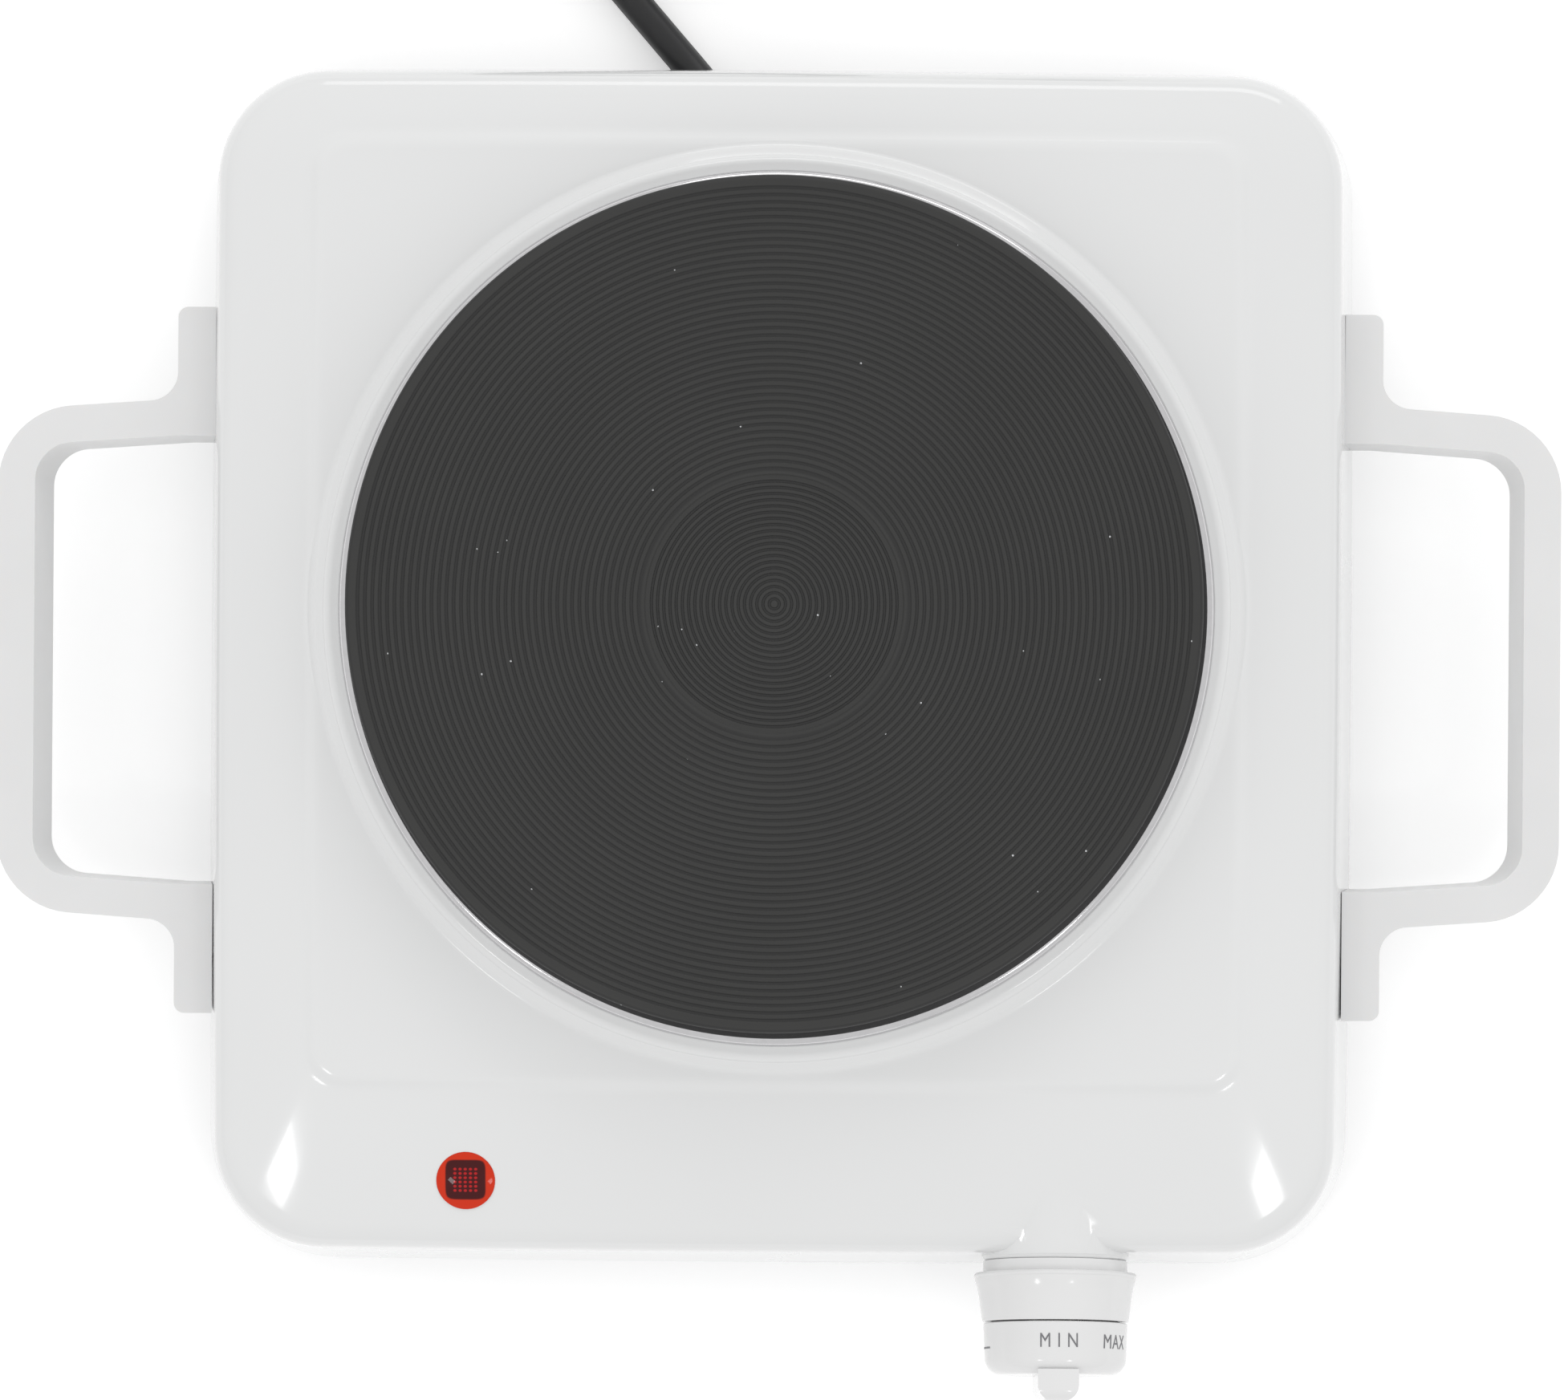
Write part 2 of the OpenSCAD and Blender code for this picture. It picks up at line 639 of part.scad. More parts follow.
module element_cover() {
    color("silver")
        at_plate()
            difference() {
                ring_solid(plate_body_r - 1, stud_r + 6, element_low_z, plate_under_z);
            }
}

block_x = -4;
block_y = -30;

module terminal_places() {
    for (x = [-14, 0, 14])
        translate([block_x + x, block_y, 0])
            children();
}

module terminal_block() {
    color("ivory")
        at_plate()
            difference() {
                translate([block_x - 22, block_y - 7, element_low_z - 11])
                    cube([44, 14, 11]);
                terminal_places()
                    translate([0, 0, element_low_z - 12])
                        cylinder(r = 1.8, h = 14);
            }
}

module element_terminals() {
    color("silver")
        at_plate()
            terminal_places() {
                translate([0, 0, element_low_z - 18])
                    cylinder(r = 1.8, h = 18);
            }
}

module centre_stud() {
    color("silver")
        at_plate()
            translate([0, 0, stud_low_z])
                cylinder(r = stud_r, h = plate_z - 9 - stud_low_z);
}

module clamp_strap() {
    pad_z = collar_z - sheet_t;
    color("silver")
        at_opening()
            difference() {
                rotate([90, 0, 0])
                    linear_extrude(strap_w, center = true)
                        polygon([[-strap_leg_x, strap_z], [strap_leg_x, strap_z], [strap_leg_x, pad_z - strap_t],
                            [strap_leg_x + strap_pad, pad_z - strap_t], [strap_leg_x + strap_pad, pad_z],
                            [strap_leg_x - strap_t, pad_z], [strap_leg_x - strap_t, strap_z + strap_t],
                            [-strap_leg_x + strap_t, strap_z + strap_t], [-strap_leg_x + strap_t, pad_z],
                            [-strap_leg_x - strap_pad, pad_z], [-strap_leg_x - strap_pad, pad_z - strap_t],
                            [-strap_leg_x, pad_z - strap_t]]);
                translate([plate_play_x, plate_play_y, strap_z - 1])
                    cylinder(r = stud_r + stud_clear, h = strap_t + 2);
            }
}

module clamp_washer() {
    color("silver")
        at_plate()
            ring_solid(9, stud_r + 0.2, strap_z - 1.6, strap_z);
}

module clamp_nut() {
    color("silver")
        at_plate()
            translate([0, 0, strap_z - 8.1])
                difference() {
                    cylinder(r = 7.5, h = 6.5, $fn = 6);
                    translate([0, 0, -1])
                        cylinder(r = stud_r, h = 9);
                }
}

fuse_y = 34;

module thermal_fuse() {
    color("white")
        at_plate()
            translate([-9, fuse_y, element_low_z - 3.4])
                rotate([0, 90, 0])
                    cylinder(r = 2, h = 18);
}

module fuse_clip() {
    color("silver")
        at_plate()
            difference() {
                translate([-3, fuse_y - 8, element_low_z - 6.4])
                    cube([6, 16, 6.4]);
                translate([-4, fuse_y, element_low_z - 3.4])
                    rotate([0, 90, 0])
                        cylinder(r = 2, h = 8);
                translate([-4, fuse_y - 9, element_low_z - 7])
                    cube([8, 5.6, 6.2]);
                translate([-4, fuse_y + 3.4, element_low_z - 7])
                    cube([8, 5.6, 6.2]);
            }
}

// ---------- thermostat and knob ----------

flange_t = 1.5;
flange_low = -sheet_t - flange_t;
body_low = flange_low - 22;
strip_low = body_low + 5;
strip_t = 0.8;
pin_travel = 0.6;
pin_low = strip_low + strip_t + pin_travel + shaft_clear;
pin_high = body_low + 13;
pin_r = 1.5;

module thermostat_body() {
    color("wheat")
        at_knob()
            difference() {
                translate([-10, -10, body_low])
                    cube([20, 20, flange_low - body_low]);
                translate([-7.6, -11, body_low + 3])
                    cube([15.2, 22, 6]);
                translate([0, 0, body_low + 8])
                    cylinder(r = pin_r + shaft_clear, h = 6);
                translate([0, 0, pin_high])
                    cylinder(r = shaft_r + 0.3, h = 30);
                for (x = [-6, 6])
                    translate([x, 0, body_low - 1])
                        cylinder(r = 1.2, h = 3);
            }
}

module thermostat_bushing() {
    color("silver")
        at_knob()
            difference() {
                union() {
                    translate([0, 0, flange_low])
                        cylinder(r = 13, h = flange_t);
                    translate([0, 0, flange_low])
                        cylinder(r = 5, h = 7 - flange_low);
                }
                translate([0, 0, flange_low - 1])
                    cylinder(r = shaft_r + shaft_clear, h = 14);
            }
}

module bushing_nut() {
    color("silver")
        at_knob()
            translate([0, 0, 1.2])
                difference() {
                    cylinder(r = 8, h = 2.5, $fn = 6);
                    translate([0, 0, -1])
                        cylinder(r = 5, h = 5);
                }
}

module bimetal_strip() {
    color("goldenrod")
        at_knob()
            translate([-7.6, -8, strip_low])
                cube([14.4, 16, strip_t]);
}

module contact_spring() {
    color("peru")
        at_knob()
            union() {
                translate([-6.4, -3, body_low + 3.2])
                    cube([14, 6, 0.5]);
                translate([4, 0, body_low + 3.6])
                    cylinder(r = 1.4, h = strip_low - body_low - 3.6);
            }
}

module thermostat_tabs() {
    color("silver")
        at_knob()
            for (x = [-6, 6])
                translate([x, 0, body_low - 7])
                    cylinder(r = 1.2, h = 9);
}

module thermostat_shaft() {
    color("silver")
        at_knob()
            difference() {
                translate([0, 0, pin_high])
                    cylinder(r = shaft_r, h = knob_front - 3 - pin_high);
                translate([shaft_r - 1, -5, knob_front - 3 - shaft_flat_l])
                    cube([4, 10, shaft_flat_l + 1]);
            }
}

module adjuster_pin() {
    color("white")
        at_knob()
            translate([0, 0, pin_low])
                cylinder(r = pin_r, h = pin_high - pin_low);
}

module knob_bezel() {
    color("white")
        at_knob()
            rotate_extrude($fn = 96)
                polygon([[5.1, 0], [boss_r - 0.1, 0], [boss_r - 0.1, 2.5], [bezel_r - 0.2, 2.7], [bezel_r, 3.1],
                    [bezel_r - 0.05, 3.9], [bezel_r - 0.5, 4.9], [bezel_r - 0.85, 6], [bezel_r - 1.1, 7.4],
                    [bezel_r - 1.4, 9.4], [bezel_r - 1.9, bezel_l - 0.2], [bezel_r - 2.1, bezel_l],
                    [14.4, bezel_l], [14.4, 1.2], [5.1, 1.2]]);
}

module knob() {
    back = bezel_l + knob_gap;
    round_z = knob_front - knob_edge_r;
    color("white")
        at_knob()
            difference() {
                union() {
                    rotate_extrude($fn = 96)
                        difference() {
                            union() {
                                polygon([[0, back], [knob_back_r, back], [knob_front_r, round_z],
                                    [0, round_z]]);
                                translate([knob_front_r - knob_edge_r, round_z])
                                    intersection() {
                                        circle(r = knob_edge_r, $fn = 64);
                                        square(knob_edge_r);
                                    }
                                translate([0, round_z - EPS])
                                    square([knob_front_r - knob_edge_r, knob_edge_r + EPS]);
                            }
                            polygon([[0, back - 1], [knob_back_r - knob_wall, back - 1],
                                [knob_front_r - knob_wall, round_z], [knob_front_r - knob_wall - 2, knob_front - knob_wall],
                                [0, knob_front - knob_wall]]);
                        }
                    intersection() {
                        translate([0, 0, knob_front - knob_wall])
                            rotate([90, 0, 0])
                                linear_extrude(40, center = true)
                                    union() {
                                        translate([-grip_w / 2, 0])
                                            square([grip_w, knob_wall + grip_h - grip_w / 2 + 0.7]);
                                        translate([0, knob_wall + grip_h - grip_w / 2])
                                            intersection() {
                                                circle(r = grip_w / 2, $fn = 64);
                                                translate([-grip_w, 0])
                                                    square([2 * grip_w, grip_w]);
                                            }
                                    }
                        cylinder(r = knob_front_r - 0.1, h = 60);
                    }
                    translate([0, 0, 9])
                        cylinder(r = 5.6, h = knob_front - 9 - EPS);
                }
                difference() {
                    translate([0, 0, 0])
                        cylinder(r = shaft_r, h = knob_front - 3);
                    translate([shaft_r - 1, -5, knob_front - 3 - shaft_flat_l])
                        cube([4, 10, shaft_flat_l + 1]);
                }
            }
}

module knob_spring_clip() {
    color("silver")
        at_knob()
            ring_solid(6.2, 5.6, 10, 15);
}

// ---------- lamp ----------

module lamp_lens() {
    dome_r = (lens_r * lens_r + lens_h * lens_h) / (2 * lens_h);
    color("red")
        at_lamp()
            difference() {
                union() {
                    rotate_extrude()
                        intersection() {
                            translate([0, lens_h - dome_r])
                                circle(r = dome_r, $fn = 128);
                            square([lens_r, lens_h + 1]);
                        }
                    translate([0, 0, -9])
                        cylinder(r = lens_stem_r, h = 9.5);
                }
                translate([0, 0, -10])
                    cylinder(r = lens_stem_r - 1.4, h = 10.4);
            }
}

module neon_bulb() {
    color("orange")
        at_lamp()
            translate([0, 0, -14])
                cylinder(r = lens_stem_r - 1.4, h = 12);
}

module lamp_clip() {
    color("silver")
        at_lamp()
            ring_solid(8, lens_stem_r, -sheet_t - 2.1, -sheet_t - 0.4);
}

// ---------- handles ----------

BEND_STEPS = 8;

function bar_profile(w, h, r) = concat([[-w / 2, 0], [w / 2, 0]],
    [for (k = [0 : 4]) [w / 2 - r + r * cos(22.5 * k), h - r + r * sin(22.5 * k)]],
    [for (k = [0 : 4]) [-w / 2 + r - r * sin(22.5 * k), h - r + r * cos(22.5 * k)]]);

// Middle line of arm, corner and outer bar in plan, from the back arm to the front one
function grip_path() =
    let (half = concat([[arm_start_x, arm_start_y]], [for (k = [0 : BEND_STEPS])
            let (a = (90 - arm_angle) * (1 - k / BEND_STEPS))
            [bar_bend_x + bar_bend_r * cos(a), bar_bend_y + bar_bend_r * sin(a)]]), n = len(half))
    concat(half, [for (k = [n - 1 : -1 : 0]) [half[k][0], -half[k][1]]]);

module grip_body(w, h, r) {
    path = grip_path();
    profile = bar_profile(w, h, r);
    last = len(path) - 1;
    rows = [for (i = [0 : last])
        let (t = unit(path[min(last, i + 1)] - path[max(0, i - 1)]))
        [for (q = profile) [path[i][0] + q[0] * t[1], path[i][1] - q[0] * t[0], handle_z + q[1]]]];
    polyhedron(points = flat_list(rows),
        faces = concat(band_faces(len(profile), len(rows)), cap_faces(len(profile), len(rows))), convexity = 8);
}

// Web in the corner between tab and arm, on the outer side of the arm
module arm_web(h) {
    lean = -tan(arm_angle);
    r = arm_fillet_r;
    side_y = arm_start_y + bar_w / 2 / cos(arm_angle) - 3 * tan(arm_angle);
    translate([tab_x, side_y, handle_z])
        linear_extrude(h)
            polygon([[-0.5, -1], [-0.5, r], [0, r], [0.08 * r, 0.62 * r], [0.29 * r, (0.29 + 0.29 * lean) * r],
                [0.62 * r, (0.08 + 0.62 * lean) * r], [r, lean * r], [r, -1]]);
}

// Tab outside each arm, with a stepped upper edge
module wall_tabs() {
    root_x = cover_half_w - 12;
    for (m = [0, 1])
        mirror([0, m, 0]) {
            translate([root_x, tab_inner_y, handle_z])
                cube([tab_x - root_x, tab_half_l - tab_inner_y, bar_h - 1.5]);
            translate([root_x, tab_inner_y + 0.4, handle_z])
                cube([tab_x - root_x - 1.2, tab_half_l - tab_inner_y - 1.9, bar_h - 0.4]);
            arm_web(bar_h - 2.5);
        }
}

module handle_solid() {
    difference() {
        union() {
            difference() {
                grip_body(bar_w, bar_h, bar_edge_r);
                translate([0, 0, -1])
                    grip_body(bar_w - 2 * bar_wall, bar_h - bar_wall + 1, 0.8);
            }
            wall_tabs();
        }
        translate([cover_half_w + tab_clear, 0, rim_z])
            rotate([0, -wall_angle, 0])
                translate([-60, -100, -20])
                    cube([60, 200, 80]);
        for (y = [-handle_screw_y, handle_screw_y])
            wall_screw_frame(1, y)
                translate([0, 0, -1])
                    cylinder(r = screw_bore_r, h = 6);
    }
}

module handle_right() {
    color("white")
        at_hob()
            handle_solid();
}

module handle_left() {
    color("white")
        at_hob()
            mirror([1, 0, 0])
                handle_solid();
}

module handle_screws() {
    color("silver")
        at_hob()
            for (side = [-1, 1])
                for (y = [-handle_screw_y, handle_screw_y])
                    wall_screw_frame(side, y) {
                        translate([0, 0, -sheet_t - 2.5])
                            cylinder(r = 3, h = 2.2);
                        translate([0, 0, -sheet_t - 0.4])
                            cylinder(r = screw_bore_r, h = 5.6);
                    }
}

// ---------- cord and wiring ----------

module strain_bushing() {
    color("black")
        at_hob()
            translate([cord_exit_x, pocket_wall_y, cord_exit_z])
                rotate([-90, 0, 0])
                    rotate_extrude()
                        polygon([[cord_d / 2, -5], [5.4, -5], [6.4, -1], [6.4, 0], [6, 0], [6, base_t],
                            [8, base_t], [8, base_t + 2], [7, base_t + 3], [cord_d / 2, base_t + 3]]);
}

module cord_clamp() {
    color("dimgray")
        at_hob()
            difference() {
                translate([cord_exit_x - 13, 56, bracket_z])
                    cube([26, 8, 13]);
                translate([cord_exit_x, 50, cord_exit_z])
                    rotate([-90, 0, 0])
                        cylinder(r = cord_d / 2, h = 20);
                for (sx = [-1, 1])
                    translate([cord_exit_x + sx * 9, 60, bracket_z - 1])
                        cylinder(r = 1.5, h = 10);
            }
}

module clamp_screws() {
    color("silver")
        at_hob()
            for (sx = [-1, 1])
                translate([cord_exit_x + sx * 9, 60, 0]) {
                    translate([0, 0, base_z - 1.8])
                        cylinder(r = 3, h = 1.8);
                    translate([0, 0, base_z - 0.5])
                        cylinder(r = 1.5, h = 8);
                }
}

module inner_cord_end() {
    color("black")
        at_hob()
            translate([cord_exit_x, 52, cord_exit_z])
                rotate([-90, 0, 0])
                    cylinder(r = cord_d / 2, h = 28);
}

module live_wire() {
    color("saddlebrown")
        at_hob()
            tube(LIVE_ROUTE, WIRE_D, 8, [0, 0, 1]);
}

module neutral_wire() {
    color("blue")
        at_hob()
            tube(NEUTRAL_ROUTE, WIRE_D, 8, [1, 0, 0]);
}

module earth_wire() {
    color("yellow")
        at_hob()
            tube(EARTH_ROUTE, WIRE_D, 8, [0, 0, 1]);
}

module element_lead() {
    color("beige")
        at_hob()
            tube(ELEMENT_ROUTE, WIRE_D, 8, [1, 1, 0]);
}

module lamp_leads() {
    color("beige")
        at_hob()
            tube(LAMP_ROUTE, WIRE_D, 8, [1, -0.6, 0]);
}

module earth_screw() {
    color("silver")
        at_hob()
            translate([-36, 32, 0]) {
                translate([0, 0, base_z - 1.6])
                    cylinder(r = 3.2, h = 1.6);
                translate([0, 0, base_z - 0.5])
                    cylinder(r = 1.8, h = 7);
                translate([0, 0, bracket_z])
                    cylinder(r = 4.2, h = 1.6);
            }
}

module power_cord() {
    color("black")
        at_hob()
            tube(CORD_ROUTE, cord_d, 12, [0, 0, 1]);
}

module cord_coil() {
    color("black")
        at_hob()
            translate([coil_x, coil_y, 0])
                rotate_extrude()
                    union() {
                        for (dx = [-1, 1])
                            for (dz = [0, 1])
                                translate([cord_coil_r + dx * cord_d / 2, cord_d / 2 + dz * cord_d])
                                    circle(r = cord_d / 2, $fn = 24);
                        translate([cord_coil_r - cord_d / 2, 0.6])
                            square([cord_d, 2 * cord_d - 1.2]);
                        translate([cord_coil_r - cord_d + 0.6, cord_d / 2])
                            square([2 * cord_d - 1.2, cord_d]);
                    }
}

module coil_tie() {
    color("dimgray")
        at_hob()
            translate([coil_x, coil_y - cord_coil_r, 0])
                difference() {
                    translate([-2.5, -cord_d - 1, 0])
                        cube([5, 2 * cord_d + 2, 2 * cord_d + 1]);
                    translate([-3, -cord_d, -0.5])
                        cube([6, 2 * cord_d, 2 * cord_d + 0.5]);
                }
}

module plug_tail() {
    color("black")
        at_hob()
            tube(TAIL_ROUTE, cord_d, 12, [0, 0, 1]);
}

module at_plug() {
    at_hob()
        translate([plug_x, plug_y, plug_z])
            rotate([0, 90, 0])
                children();
}

module plug_body() {
    color("black")
        at_plug()
            rotate_extrude()
                polygon([[0, 0], [4.6, 0], [5.6, 14], [8, 18], [14, 22], [17.6, 28], [18.6, 34], [18.6, 41],
                    [17, 42], [17, plug_l], [0, plug_l]]);
}

module plug_pins() {
    color("silver")
        at_plug()
            for (s = [-1, 1])
                translate([0, s * 9.5, plug_l])
                    union() {
                        cylinder(r = pin_plug_r, h = 17.6);
                        translate([0, 0, 17.6])
                            cylinder(r1 = pin_plug_r, r2 = pin_plug_r - 1.2, h = 1.4);
                    }
}

// ---------- what is shown ----------

housing_cover();
corner_brackets();
base_plate();
foot(-1, -1);  // foot_front_left
foot(1, -1);  // foot_front_right
foot(-1, 1);  // foot_back_left
foot(1, 1);  // foot_back_right
foot_screws();
trim_ring();
hotplate();
element_fill(channel_inner_r);  // element_fill_inner
element_fill(channel_outer_r);  // element_fill_outer
heating_coil(channel_inner_r);  // heating_coil_inner
heating_coil(channel_outer_r);  // heating_coil_outer
element_cover();
terminal_block();
element_terminals();
centre_stud();
clamp_strap();
clamp_washer();
clamp_nut();
thermal_fuse();
fuse_clip();
thermostat_body();
thermostat_bushing();
bushing_nut();
bimetal_strip();
contact_spring();
thermostat_tabs();
thermostat_shaft();
adjuster_pin();
knob_bezel();
knob();
knob_spring_clip();
lamp_lens();
neon_bulb();
lamp_clip();
handle_left();
handle_right();
handle_screws();
strain_bushing();
cord_clamp();
clamp_screws();
inner_cord_end();
live_wire();
neutral_wire();
earth_wire();
element_lead();
lamp_leads();
earth_screw();
power_cord();
cord_coil();
coil_tie();
plug_tail();
plug_body();
plug_pins();
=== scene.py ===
"""Hot plate burner: enamelled cover, iron plate, handles, knob, lamp and cord, dressed over the CAD frame."""
import logging
import math
from dataclasses import dataclass
from enum import Enum
from typing import Any, Callable, Sequence

import bmesh
import bpy
from mathutils import Matrix, Vector


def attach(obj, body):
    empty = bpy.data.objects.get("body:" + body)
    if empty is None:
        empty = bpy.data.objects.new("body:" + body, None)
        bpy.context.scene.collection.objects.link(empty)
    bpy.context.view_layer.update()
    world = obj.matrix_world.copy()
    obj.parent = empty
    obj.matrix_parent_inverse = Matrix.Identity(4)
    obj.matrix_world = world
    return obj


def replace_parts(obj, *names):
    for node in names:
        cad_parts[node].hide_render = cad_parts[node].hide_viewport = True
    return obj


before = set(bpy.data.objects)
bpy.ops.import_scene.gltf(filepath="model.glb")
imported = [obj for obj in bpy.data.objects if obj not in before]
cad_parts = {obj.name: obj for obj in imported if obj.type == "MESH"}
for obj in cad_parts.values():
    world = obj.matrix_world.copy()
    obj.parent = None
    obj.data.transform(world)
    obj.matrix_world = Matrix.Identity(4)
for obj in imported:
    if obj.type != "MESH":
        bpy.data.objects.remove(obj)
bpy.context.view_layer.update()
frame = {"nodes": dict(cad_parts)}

LOG = logging.getLogger("hot_plate")
MM = 0.001  # metres in a millimetre
HOB_Y = 14.55  # how far the cover's middle lies behind the origin, in millimetres
NEAR = 0.1  # how far off a point still counts as in place, in millimetres
Point = tuple[float, float, float]
Colour = tuple[float, float, float]


# ---------- work at the bench ----------

def rest() -> None:
    """Leaves edit mode and deselects every object."""
    if bpy.context.object is not None and bpy.context.object.mode != "OBJECT":
        bpy.ops.object.mode_set(mode="OBJECT")
    bpy.ops.object.select_all(action="DESELECT")


def hold(obj: bpy.types.Object) -> None:
    """Makes one object the only selected and active one."""
    rest()
    obj.select_set(True)
    bpy.context.view_layer.objects.active = obj


@dataclass
class Bench:
    """One mesh under work in edit mode, with every size and place in millimetres.

    Attributes:
        obj: The object that is shaped.
    """

    obj: bpy.types.Object

    @classmethod
    def begin(cls, name: str, kind: str, at: Point = (0, 0, 0), scale: Point = (1, 1, 1),
              **sizes: Any) -> "Bench":
        """Adds a primitive and opens it in edit mode with nothing selected.

        Args:
            name: Name of the piece.
            kind: Word of the primitive operator, such as cube or cylinder.
            at: Place of its middle.
            scale: Stretch along each axis.
            sizes: Settings of the operator, with lengths in millimetres.

        Returns:
            The bench that holds it.
        """
        rest()
        lengths = {k: v * MM if k in ("size", "radius", "depth", "radius1", "radius2") else v
                   for k, v in sizes.items()}
        getattr(bpy.ops.mesh, f"primitive_{kind}_add")(location=Vector(at) * MM, **lengths)
        obj = bpy.context.object
        obj.name = obj.data.name = name
        obj.scale = scale
        bpy.ops.object.transform_apply(location=True, rotation=True, scale=True)
        bpy.ops.object.mode_set(mode="EDIT")
        bpy.ops.mesh.select_mode(type="VERT")
        bpy.ops.mesh.select_all(action="DESELECT")
        return cls(obj)

    def pick(self, test: Callable[[Vector], bool], kind: str = "FACE",
             facing: Callable[[Vector], bool] | None = None) -> "Bench":
        """Selects the elements whose points all pass a test.

        Args:
            test: Test on a point, in millimetres.
            kind: VERT, EDGE or FACE.
            facing: Test on the normal of a face.

        Returns:
            The same bench.
        """
        bpy.ops.mesh.select_mode(type=kind)
        bpy.ops.mesh.select_all(action="DESELECT")
        mesh = bmesh.from_edit_mesh(self.obj.data)
        for item in {"VERT": mesh.verts, "EDGE": mesh.edges, "FACE": mesh.faces}[kind]:
            points = [item.co] if kind == "VERT" else [v.co for v in item.verts]
            if all(test(p / MM) for p in points) and (facing is None or facing(item.normal)):
                item.select_set(True)
        bmesh.update_edit_mesh(self.obj.data)
        return self

    def pick_edges(self, test: Callable[[Vector, Vector], bool], bend: float = 0.0) -> "Bench":
        """Selects the edges whose ends pass a test, in millimetres, and that bend by an angle in degrees."""
        bpy.ops.mesh.select_mode(type="EDGE")
        bpy.ops.mesh.select_all(action="DESELECT")
        mesh = bmesh.from_edit_mesh(self.obj.data)
        for edge in mesh.edges:
            if test(edge.verts[0].co / MM, edge.verts[1].co / MM) and (
                    not bend or edge.calc_face_angle(0.0) > math.radians(bend)):
                edge.select_set(True)
        bmesh.update_edit_mesh(self.obj.data)
        return self

    def pick_all(self) -> "Bench":
        """Selects the whole mesh."""
        bpy.ops.mesh.select_all(action="SELECT")
        return self

    def inset(self, thickness: float, depth: float = 0.0) -> "Bench":
        """Insets the picked faces, and lifts them along their normals by a depth."""
        bpy.ops.mesh.inset(thickness=thickness * MM, depth=depth * MM, use_even_offset=True)
        return self

    def extrude(self, by: Point) -> "Bench":
        """Extrudes what is picked and moves it."""
        bpy.ops.mesh.extrude_region_move(TRANSFORM_OT_translate={"value": Vector(by) * MM})
        return self

    def move(self, by: Point) -> "Bench":
        """Moves what is picked."""
        bpy.ops.transform.translate(value=Vector(by) * MM)
        return self

    def stretch(self, by: Point) -> "Bench":
        """Scales what is picked about the origin."""
        bpy.ops.transform.resize(value=by, center_override=(0, 0, 0))
        return self

    def turn(self, degrees: float, axis: str, about: Point = (0, 0, 0)) -> "Bench":
        """Turns what is picked about a point, anticlockwise seen along the axis from its tip."""
        bpy.ops.transform.rotate(value=-math.radians(degrees), orient_axis=axis,
                                 orient_type="GLOBAL", center_override=Vector(about) * MM)
        return self

    def bevel(self, width: float, segments: int = 4, corners: bool = False) -> "Bench":
        """Rounds the picked edges, or the picked corner points."""
        bpy.ops.mesh.bevel(offset=width * MM, segments=segments, profile=0.5,
                           affect="VERTICES" if corners else "EDGES", clamp_overlap=True)
        return self

    def cut(self, at: Point, normal: Point, fill: bool = True, drop_inner: bool = False) -> "Bench":
        """Cuts the whole mesh with a plane, and may drop the side behind it."""
        bpy.ops.mesh.select_all(action="SELECT")
        bpy.ops.mesh.bisect(plane_co=Vector(at) * MM, plane_no=normal, use_fill=fill,
                            clear_inner=drop_inner)
        return self

    def weld(self, gap: float = 0.002) -> "Bench":
        """Merges doubled points and turns the faces outwards."""
        bpy.ops.mesh.select_all(action="SELECT")
        bpy.ops.mesh.remove_doubles(threshold=gap * MM)
        bpy.ops.mesh.normals_make_consistent(inside=False)
        return self

    def done(self, smooth: float | None = 40.0) -> bpy.types.Object:
        """Leaves edit mode and shades the piece.

        Args:
            smooth: Largest angle, in degrees, across which the shading runs on.

        Returns:
            The finished object.
        """
        hold(self.obj)
        if smooth is not None:
            bpy.ops.object.shade_smooth_by_angle(angle=math.radians(smooth))
        return self.obj


def modify(obj: bpy.types.Object, kind: str, **settings: Any) -> bpy.types.Object:
    """Adds a modifier with its settings and applies it."""
    hold(obj)
    tool = obj.modifiers.new(kind.title(), kind)
    for key, value in settings.items():
        setattr(tool, key, value)
    bpy.ops.object.modifier_apply(modifier=tool.name)
    return obj


def place(obj: bpy.types.Object, matrix: Matrix) -> bpy.types.Object:
    """Moves a piece into its frame and applies the move to its mesh."""
    hold(obj)
    obj.matrix_world = matrix
    bpy.ops.object.transform_apply(location=True, rotation=True, scale=True)
    return obj


def combine(obj: bpy.types.Object, tool: bpy.types.Object, operation: str) -> bpy.types.Object:
    """Unites, cuts or intersects a piece with another one, which is used up."""
    modify(obj, "BOOLEAN", operation=operation, object=tool, solver="EXACT")
    bpy.data.objects.remove(tool)
    return obj


def turned(name: str, profile: Sequence[tuple[float, float]], steps: int = 96,
           at: Point = (0, 0, 0), smooth: float = 40.0) -> bpy.types.Object:
    """Turns a closed profile about the vertical axis, as on a lathe.

    Args:
        name: Name of the piece.
        profile: Radius and height of each point, in millimetres.
        steps: Number of steps round the axis.
        at: Place of the axis.
        smooth: Largest angle across which the shading runs on.

    Returns:
        The turned piece.
    """
    bench = Bench.begin(name, "plane", size=1.0)
    bench.pick_all()
    bpy.ops.mesh.merge(type="CENTER")
    points = list(profile) + [profile[0]]
    bench.move((points[0][0], 0, points[0][1]))
    for (r0, z0), (r1, z1) in zip(points, points[1:]):
        bench.extrude((r1 - r0, 0, z1 - z0))
    bench.weld()
    bench.pick_all()
    bpy.ops.mesh.spin(steps=steps, angle=math.tau, center=(0, 0, 0), axis=(0, 0, 1))
    bench.weld()
    bench.pick_all().move(at)
    return bench.done(smooth)


def arc(cx: float, cz: float, r: float, start: float, end: float, steps: int) -> list[tuple[float, float]]:
    """Points of an arc in a profile, from one angle to another, in degrees."""
    return [(cx + r * math.cos(math.radians(start + (end - start) * i / steps)),
             cz + r * math.sin(math.radians(start + (end - start) * i / steps))) for i in range(steps + 1)]


# ---------- shader arithmetic ----------

